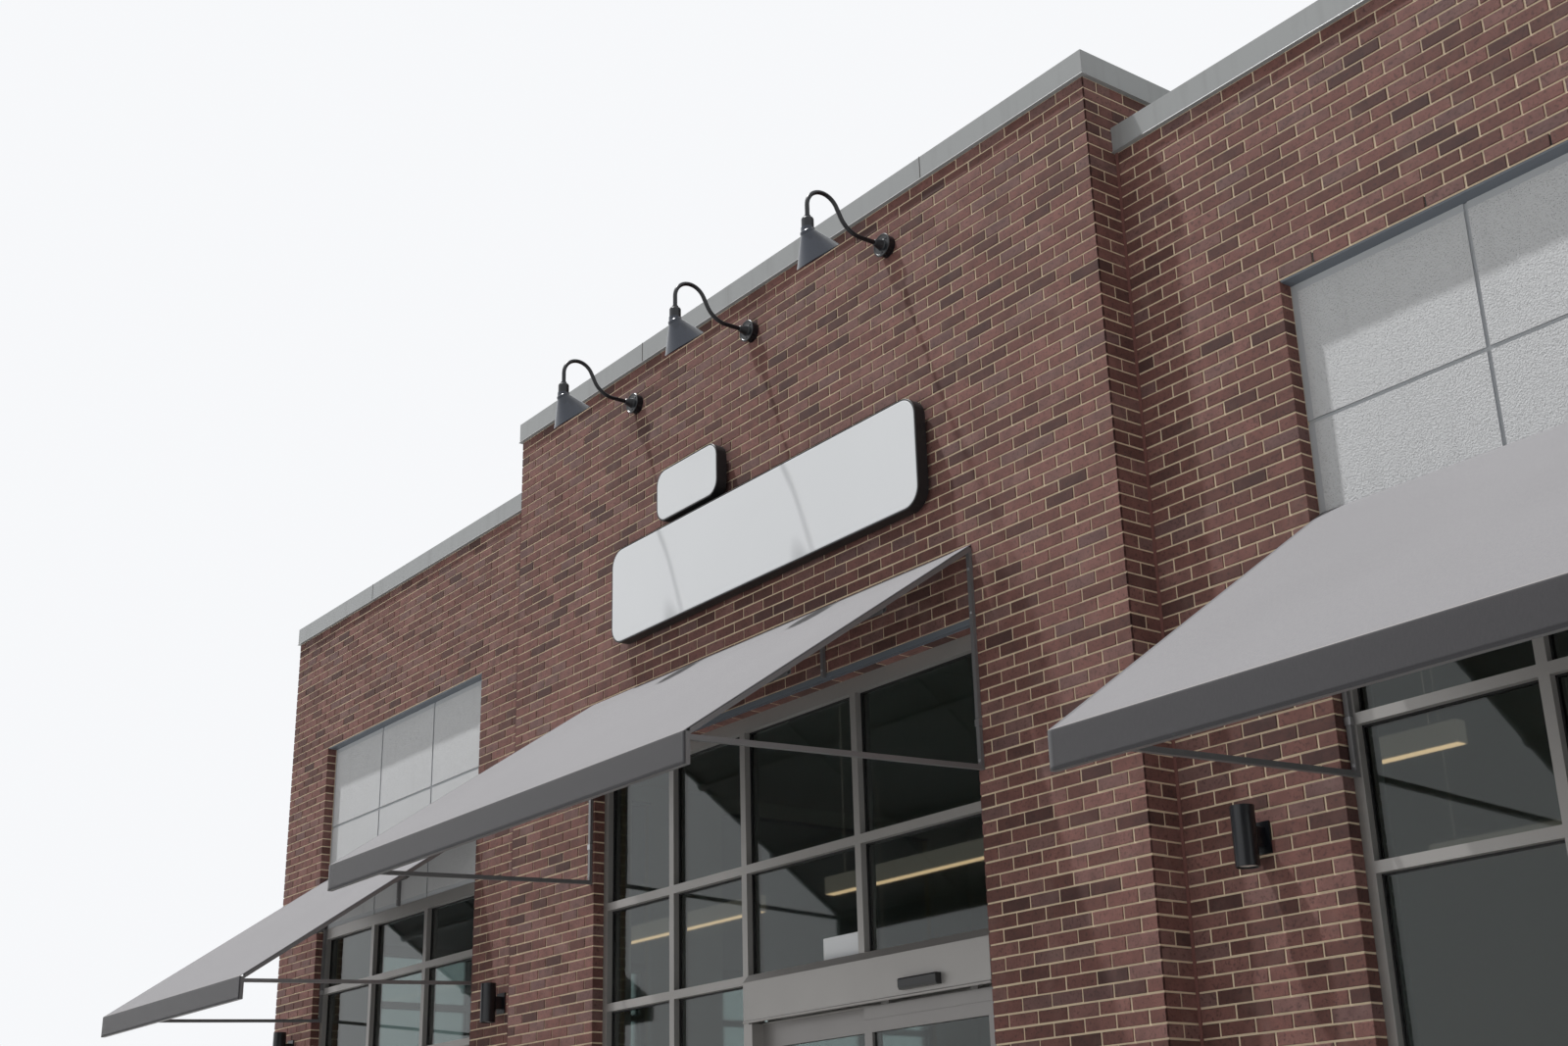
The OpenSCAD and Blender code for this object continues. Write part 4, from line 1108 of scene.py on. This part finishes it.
# %% [markdown]
# ## The sign's place
# Over the awning hangs a sign of lit plates: a white face, a dark rim, and a
# gap to the wall. It is left blank. Rounded boxes would look soft at the edge,
# where the real one has a crisp rim round a face that stands a little proud.
# So each plate is a stack of outlines, and short posts hold it off the wall. A
# small blank plate on the glass over the doors is made in the same way.

# %% Blank sign
SIGN_GAP, SIGN_DEEP = 0.030, 0.075
PLATES = [(0.06, 5.36, 3.16, 0.66, 0.12), (-0.62, 5.905, 0.70, 0.36, 0.10)]
front = SIGN_GAP + SIGN_DEEP
RIM = [(0.002, SIGN_GAP), (0, SIGN_GAP + 0.002), (0, front), (0.002, front + 0.002),
       (0.009, front + 0.002), (0.010, front - 0.001), (0.012, front - 0.001)]
FACE = [(0.010, front - 0.002), (0.010, front + 0.0012), (0.014, front + 0.003)]
POST = [(0.009, 0), (0.009, SIGN_GAP + 0.002)]


def sign_plate(plate, steps):
    """A plate (middle x and z, width, height, corner radius) as a stack of outlines;
    steps holds (inset, distance out from the wall) of each."""
    cx, cz, width, height, radius = plate
    rings = []
    for inset, out in steps:
        flat = plate_outline(width - 2 * inset, height - 2 * inset, radius - inset, 9)
        rings.append(np.stack([cx + flat[:, 0], np.full(len(flat), bay_y - out),
                               cz + flat[:, 1]], -1))
    return skin(rings)


posts = []
for cx, cz, width, height, _ in PLATES:
    for x in np.linspace(-0.42, 0.42, 6 if width > 2 else 2) * width:
        posts += [turned((cx + x, bay_y + 0.001, cz + z * height), (0, -1, 0), POST, 10)
                  for z in (-0.3, 0.3)]
face_finish, tree, shader, place = start("sign_face", 0.35, Coat_Weight=0.2)
paint(tree, shader, patchy(tree, place, srgb(226, 228, 230), 0.02, 1.2))
bump(tree, shader, noise(tree, place, 2.0, 1.0), 0.002, 0.3)
rim_finish = metal("sign_rim", srgb(26, 26, 28), 0.45)
place_parts("sign_rims", [sign_plate(plate, RIM) for plate in PLATES], rim_finish)
place_parts("sign_faces", [sign_plate(plate, FACE) for plate in PLATES], face_finish)
place_parts("sign_posts", posts, rim_finish)

# %% Number plate on the glass
plate_x, plate_z, glass_face = 0.5475, 2.809, screen_y + glass_gap
flat = plate_outline(0.313, 0.132, 0.006, 4)
rings = [np.stack([plate_x + flat[:, 0] * share, np.full(len(flat), glass_face - out),
                   plate_z + flat[:, 1] * share], -1)
         for share, out in ((1, 0.0), (1, 0.0012), (0.99, 0.0016))]
place_parts("number_plate", [skin(rings)], face_finish)

# %% [markdown]
# ## Bolts, clips, screws and lenses
# Fittings are small, but they show how a thing is held, and without them an
# awning seems glued on. Zinc bolts hold the awnings' wall bars, a clip holds
# each strut to its bar, and three screws hold each lamp's cover. The wall
# lights have a frosted lens at both ends. Bolts, screws and lenses are
# profiles of (radius, height) spun round an axis, with six sides for a bolt.

# %% Awning bolts and clips
BOLT = [(0.0095, 0), (0.0095, 0.0015), (0.0062, 0.0016), (0.0062, 0.0055), (0.005, 0.0065)]
TUBE = 0.025
CLIP_RISE, CLIP_H, CLIP_OVER = 0.42, 0.034, 0.0035
steel_finish = metal("zinc_bolts", srgb(176, 176, 178), 0.35, 0.85)
bolts, clip_lows, clip_highs = [], [], []
for awning, rafters in zip(AWNINGS, (4, 3, 3)):
    low, high = box(awning + "_frame")
    step = (high[0] - low[0] - TUBE) / (rafters - 1)
    for k in range(rafters):
        zs = [high[2] - 0.12, high[2] - 0.36]
        if k in (0, rafters - 1):
            zs.append(low[2] + 0.24)
        bolts += [turned((low[0] + TUBE / 2 + k * step, high[1] - TUBE + 0.0005, z), (0, -1, 0),
                         BOLT, 6) for z in zs]
    z = low[2] + CLIP_RISE
    for x in (low[0], high[0] - TUBE):
        clip_lows.append((x - CLIP_OVER, high[1] - TUBE - CLIP_OVER, z))
        clip_highs.append((x + TUBE + CLIP_OVER, high[1] - 0.001, z + CLIP_H))
place_parts("awning_bolts", bolts, steel_finish)
make_piece("awning_clips", *boxes(clip_lows, clip_highs), steel_finish)

# %% Lamp screws
SCREW = [(0.006, 0), (0.006, 0.002), (0.004, 0.0042), (0.001, 0.0048)]
COVER_Y, SCREW_RING, LAMP_DOWN = bay_y - 0.0535, 0.048, 0.437
mount_z = tall_z + coping_h - LAMP_DOWN
screws = [turned((x + SCREW_RING * np.cos(angle), COVER_Y, mount_z + SCREW_RING * np.sin(angle)),
                 (0, -1, 0), SCREW, 10)
          for x in (-1.362, 0.0, 1.362) for angle in np.radians((35, 145, 270))]
place_parts("lamp_screws", screws, black_finish)

# %% Lenses of the wall lights
LENS = [(0.046, -0.0005), (0.046, 0.002), (0.03, 0.0045), (0.006, 0.0055)]
LENS_IN, SCONCE_R = 0.0105, 0.054
lens_finish, tree, shader, place = start("sconce_lens", 0.25)
paint(tree, shader, patchy(tree, place, srgb(206, 204, 196), 0.05, 9.0))
bump(tree, shader, noise(tree, place, 140.0), 0.0006)
low, high = box("wall_sconces")
lenses = [turned((x, low[1] + SCONCE_R, z), (0, 0, up), LENS, 24)
          for x in (-7.17, -3.4525, 3.4525, 7.17)
          for z, up in ((high[2] - LENS_IN, 1), (low[2] + LENS_IN, -1))]
place_parts("sconce_lenses", lenses, lens_finish)

# %% [markdown]
# ## Hanging lamps
# Through the glass over the doors a long slim lamp shows under the ceiling, so
# two rows of them hang there on thin wires. A lamp of Blender's own would
# light the rooms but show no form. These are boxes that glow: the lens along
# the underside as the lamp itself, and the case a little, as painted light
# for the room's light thrown back on it.

# %% Hanging lamps
LAMP_Z, LAMP_W, LAMP_H, LAMP_HALF = 3.80, 0.09, 0.13, 1.2
WIRE_AT, WIRE_R, LENS_END, LENS_SIDE = 1.0, 0.002, 0.01, 0.008
ceiling_z = box("roof_deck")[0][2]
glow_finish, tree, shader, place = start(
    "lamp_glow", 0.5, Base_Color=srgb(240, 226, 200), Emission_Color=srgb(255, 208, 162),
    Emission_Strength=1.8)
bump(tree, shader, noise(tree, place, 60.0), 0.0005)
# The case's faint glow is painted light: the room's light thrown back on the case.
case_painted_glow_finish, tree, shader, place = start(
    "lamp_case", 0.5, Base_Color=srgb(214, 208, 200), Emission_Color=srgb(255, 232, 212),
    Emission_Strength=0.12)
bump(tree, shader, noise(tree, place, 40.0), 0.0005)
cases, lights = [], []
for y in (2.5, 5.6):
    for x in (-4.9, -1.6, 1.7, 5.0):
        cases.append(((x - LAMP_HALF, y - LAMP_W / 2, LAMP_Z),
                      (x + LAMP_HALF, y + LAMP_W / 2, LAMP_Z + LAMP_H)))
        lights.append(((x - LAMP_HALF + LENS_END, y - LAMP_W / 2 + LENS_SIDE, LAMP_Z - 0.004),
                       (x + LAMP_HALF - LENS_END, y + LAMP_W / 2 - LENS_SIDE, LAMP_Z + 0.002)))
        cases += [((wire - WIRE_R, y - WIRE_R, LAMP_Z + LAMP_H - 0.001),
                   (wire + WIRE_R, y + WIRE_R, ceiling_z + 0.001))
                  for wire in (x - WIRE_AT, x + WIRE_AT)]
make_piece("hanging_lamps", *boxes(*zip(*cases)), case_painted_glow_finish)
make_piece("hanging_lamp_lenses", *boxes(*zip(*lights)), glow_finish)

# %% [markdown]
# ## Clamping bar on the parapets
# On a flat roof the membrane turns up the parapet and is clamped to it by a
# metal bar. The bar could be swept along the wall, but all its runs are
# straight and level, so each is one box, given by its place on the plan.

# %% Clamping bar
BAR_RISE, BAR_H, BAR_T = 0.36, 0.035, 0.004
inner_x, inner_back = end_x - wall_t, back_y - wall_t
inner_bay, inner_front = bay_x - wall_t, bay_y + wall_t
bars = [(-inner_x, inner_back - BAR_T, inner_x, inner_back),
        (inner_x - BAR_T, wall_t, inner_x, inner_back),
        (-inner_x, wall_t, BAR_T - inner_x, inner_back),
        (bay_x, wall_t, inner_x, wall_t + BAR_T), (-inner_x, wall_t, -bay_x, wall_t + BAR_T),
        (-inner_bay, inner_front, inner_bay, inner_front + BAR_T)]
for s in (-1, 1):
    for face, out, y0 in ((inner_bay, -BAR_T, inner_front), (bay_x, BAR_T, wall_t)):
        x0, x1 = sorted((s * face, s * (face + out)))
        bars.append((x0, y0, x1, return_y))
bars = np.array(bars)
lows = np.column_stack([bars[:, :2], np.full(len(bars), roof_z + BAR_RISE)])
highs = np.column_stack([bars[:, 2:], np.full(len(bars), roof_z + BAR_RISE + BAR_H)])
make_piece("roof_clamping_bar", *boxes(lows, highs), steel_finish)

# %% [markdown]
# ## Camera
# The camera stands in front of the right-hand wing, at eye height, and looks
# up and to the left, so the upright edges lean together as in the photograph.
# Aiming it by eye never quite fits. Its place, its lens and its three axes
# come from brick courses and edges, whose places on the wall are known.

# %% Camera
CAMERA_AT = (8.8995, -6.731, 1.326)
RIGHT = (0.596744, 0.802111, -0.022693)
UPWARD = (0.293591, -0.191928, 0.936466)
BACKWARD = (0.746794, -0.565493, -0.350024)
camera_data = bpy.data.cameras.new("camera")
camera_data.lens, camera_data.sensor_width = 43.79, 36.0
camera_data.clip_start, camera_data.clip_end = 0.05, 500.0
camera = bpy.data.objects.new("camera", camera_data)
turn = Matrix((RIGHT, UPWARD, BACKWARD)).transposed().to_4x4()
camera.matrix_world = Matrix.Translation(CAMERA_AT) @ turn
bpy.context.scene.collection.objects.link(camera)
bpy.context.scene.camera = camera
bpy.context.scene.view_settings.view_transform = "Standard"
print("camera at", CAMERA_AT, "lens", camera_data.lens)

# %% [markdown]
# ## Light, backdrop and floor
# Many soft lamps would flatten the front. One broad sun from the front left
# above lets awnings and lamps cast the shadows that show their depth, and a
# pale even sky fills them. What the camera sees of that sky, straight, in
# gloss or through glass, is brighter than what lights the building, so the
# backdrop is white and pale surfaces don't burn out. The floor is plain.

# %% Sun and sky
SUN_WAY = (0.33, 0.19, -0.92)
LIGHT, SEEN = 0.34, 1.0
sun_data = bpy.data.lights.new("sun", "SUN")
sun_data.energy, sun_data.angle = 4.0, np.radians(1.5)
sun = bpy.data.objects.new("sun", sun_data)
sun.rotation_euler = Vector(SUN_WAY).to_track_quat("-Z", "Y").to_euler()
bpy.context.scene.collection.objects.link(sun)

world = bpy.data.worlds.new("studio")
bpy.context.scene.world = world
world.use_nodes = True
tree = world.node_tree
sky = tree.nodes["Background"].inputs
rays = tree.nodes.new("ShaderNodeLightPath").outputs
seen = math_node(tree, "MAXIMUM", rays["Is Camera Ray"],
                 math_node(tree, "MAXIMUM", rays["Is Glossy Ray"], rays["Is Transmission Ray"]))
feed(tree, math_node(tree, "MULTIPLY_ADD", seen, SEEN - LIGHT, LIGHT), sky["Strength"])
sky["Color"].default_value = (0.93, 0.94, 0.96, 1)
print("sun", sun_data.energy, "sky", LIGHT)

# %% Floor
FLOOR_HALF, FLOOR_Z = 400.0, -0.004
floor_finish = start("studio_floor", 0.9, Base_Color=(0.52, 0.52, 0.51, 1))[0]
mesh = bpy.data.meshes.new("studio_floor")
mesh.from_pydata([(x * FLOOR_HALF, y * FLOOR_HALF, FLOOR_Z)
                  for x, y in ((-1, -1), (1, -1), (1, 1), (-1, 1))], [], [(0, 1, 2, 3)])
mesh.materials.append(floor_finish)
ground = bpy.data.objects.new("studio_floor", mesh)
bpy.context.scene.collection.objects.link(ground)
ground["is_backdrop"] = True
print("floor", 2 * FLOOR_HALF, "m wide")

# %% [markdown]
# ## Sizes and the end
# Dressing must not make the building bigger. The box of the dressed building
# is printed.

# %% Sizes and the end
low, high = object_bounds()
print("dressed", [round(v, 3) for v in low], [round(v, 3) for v in high])
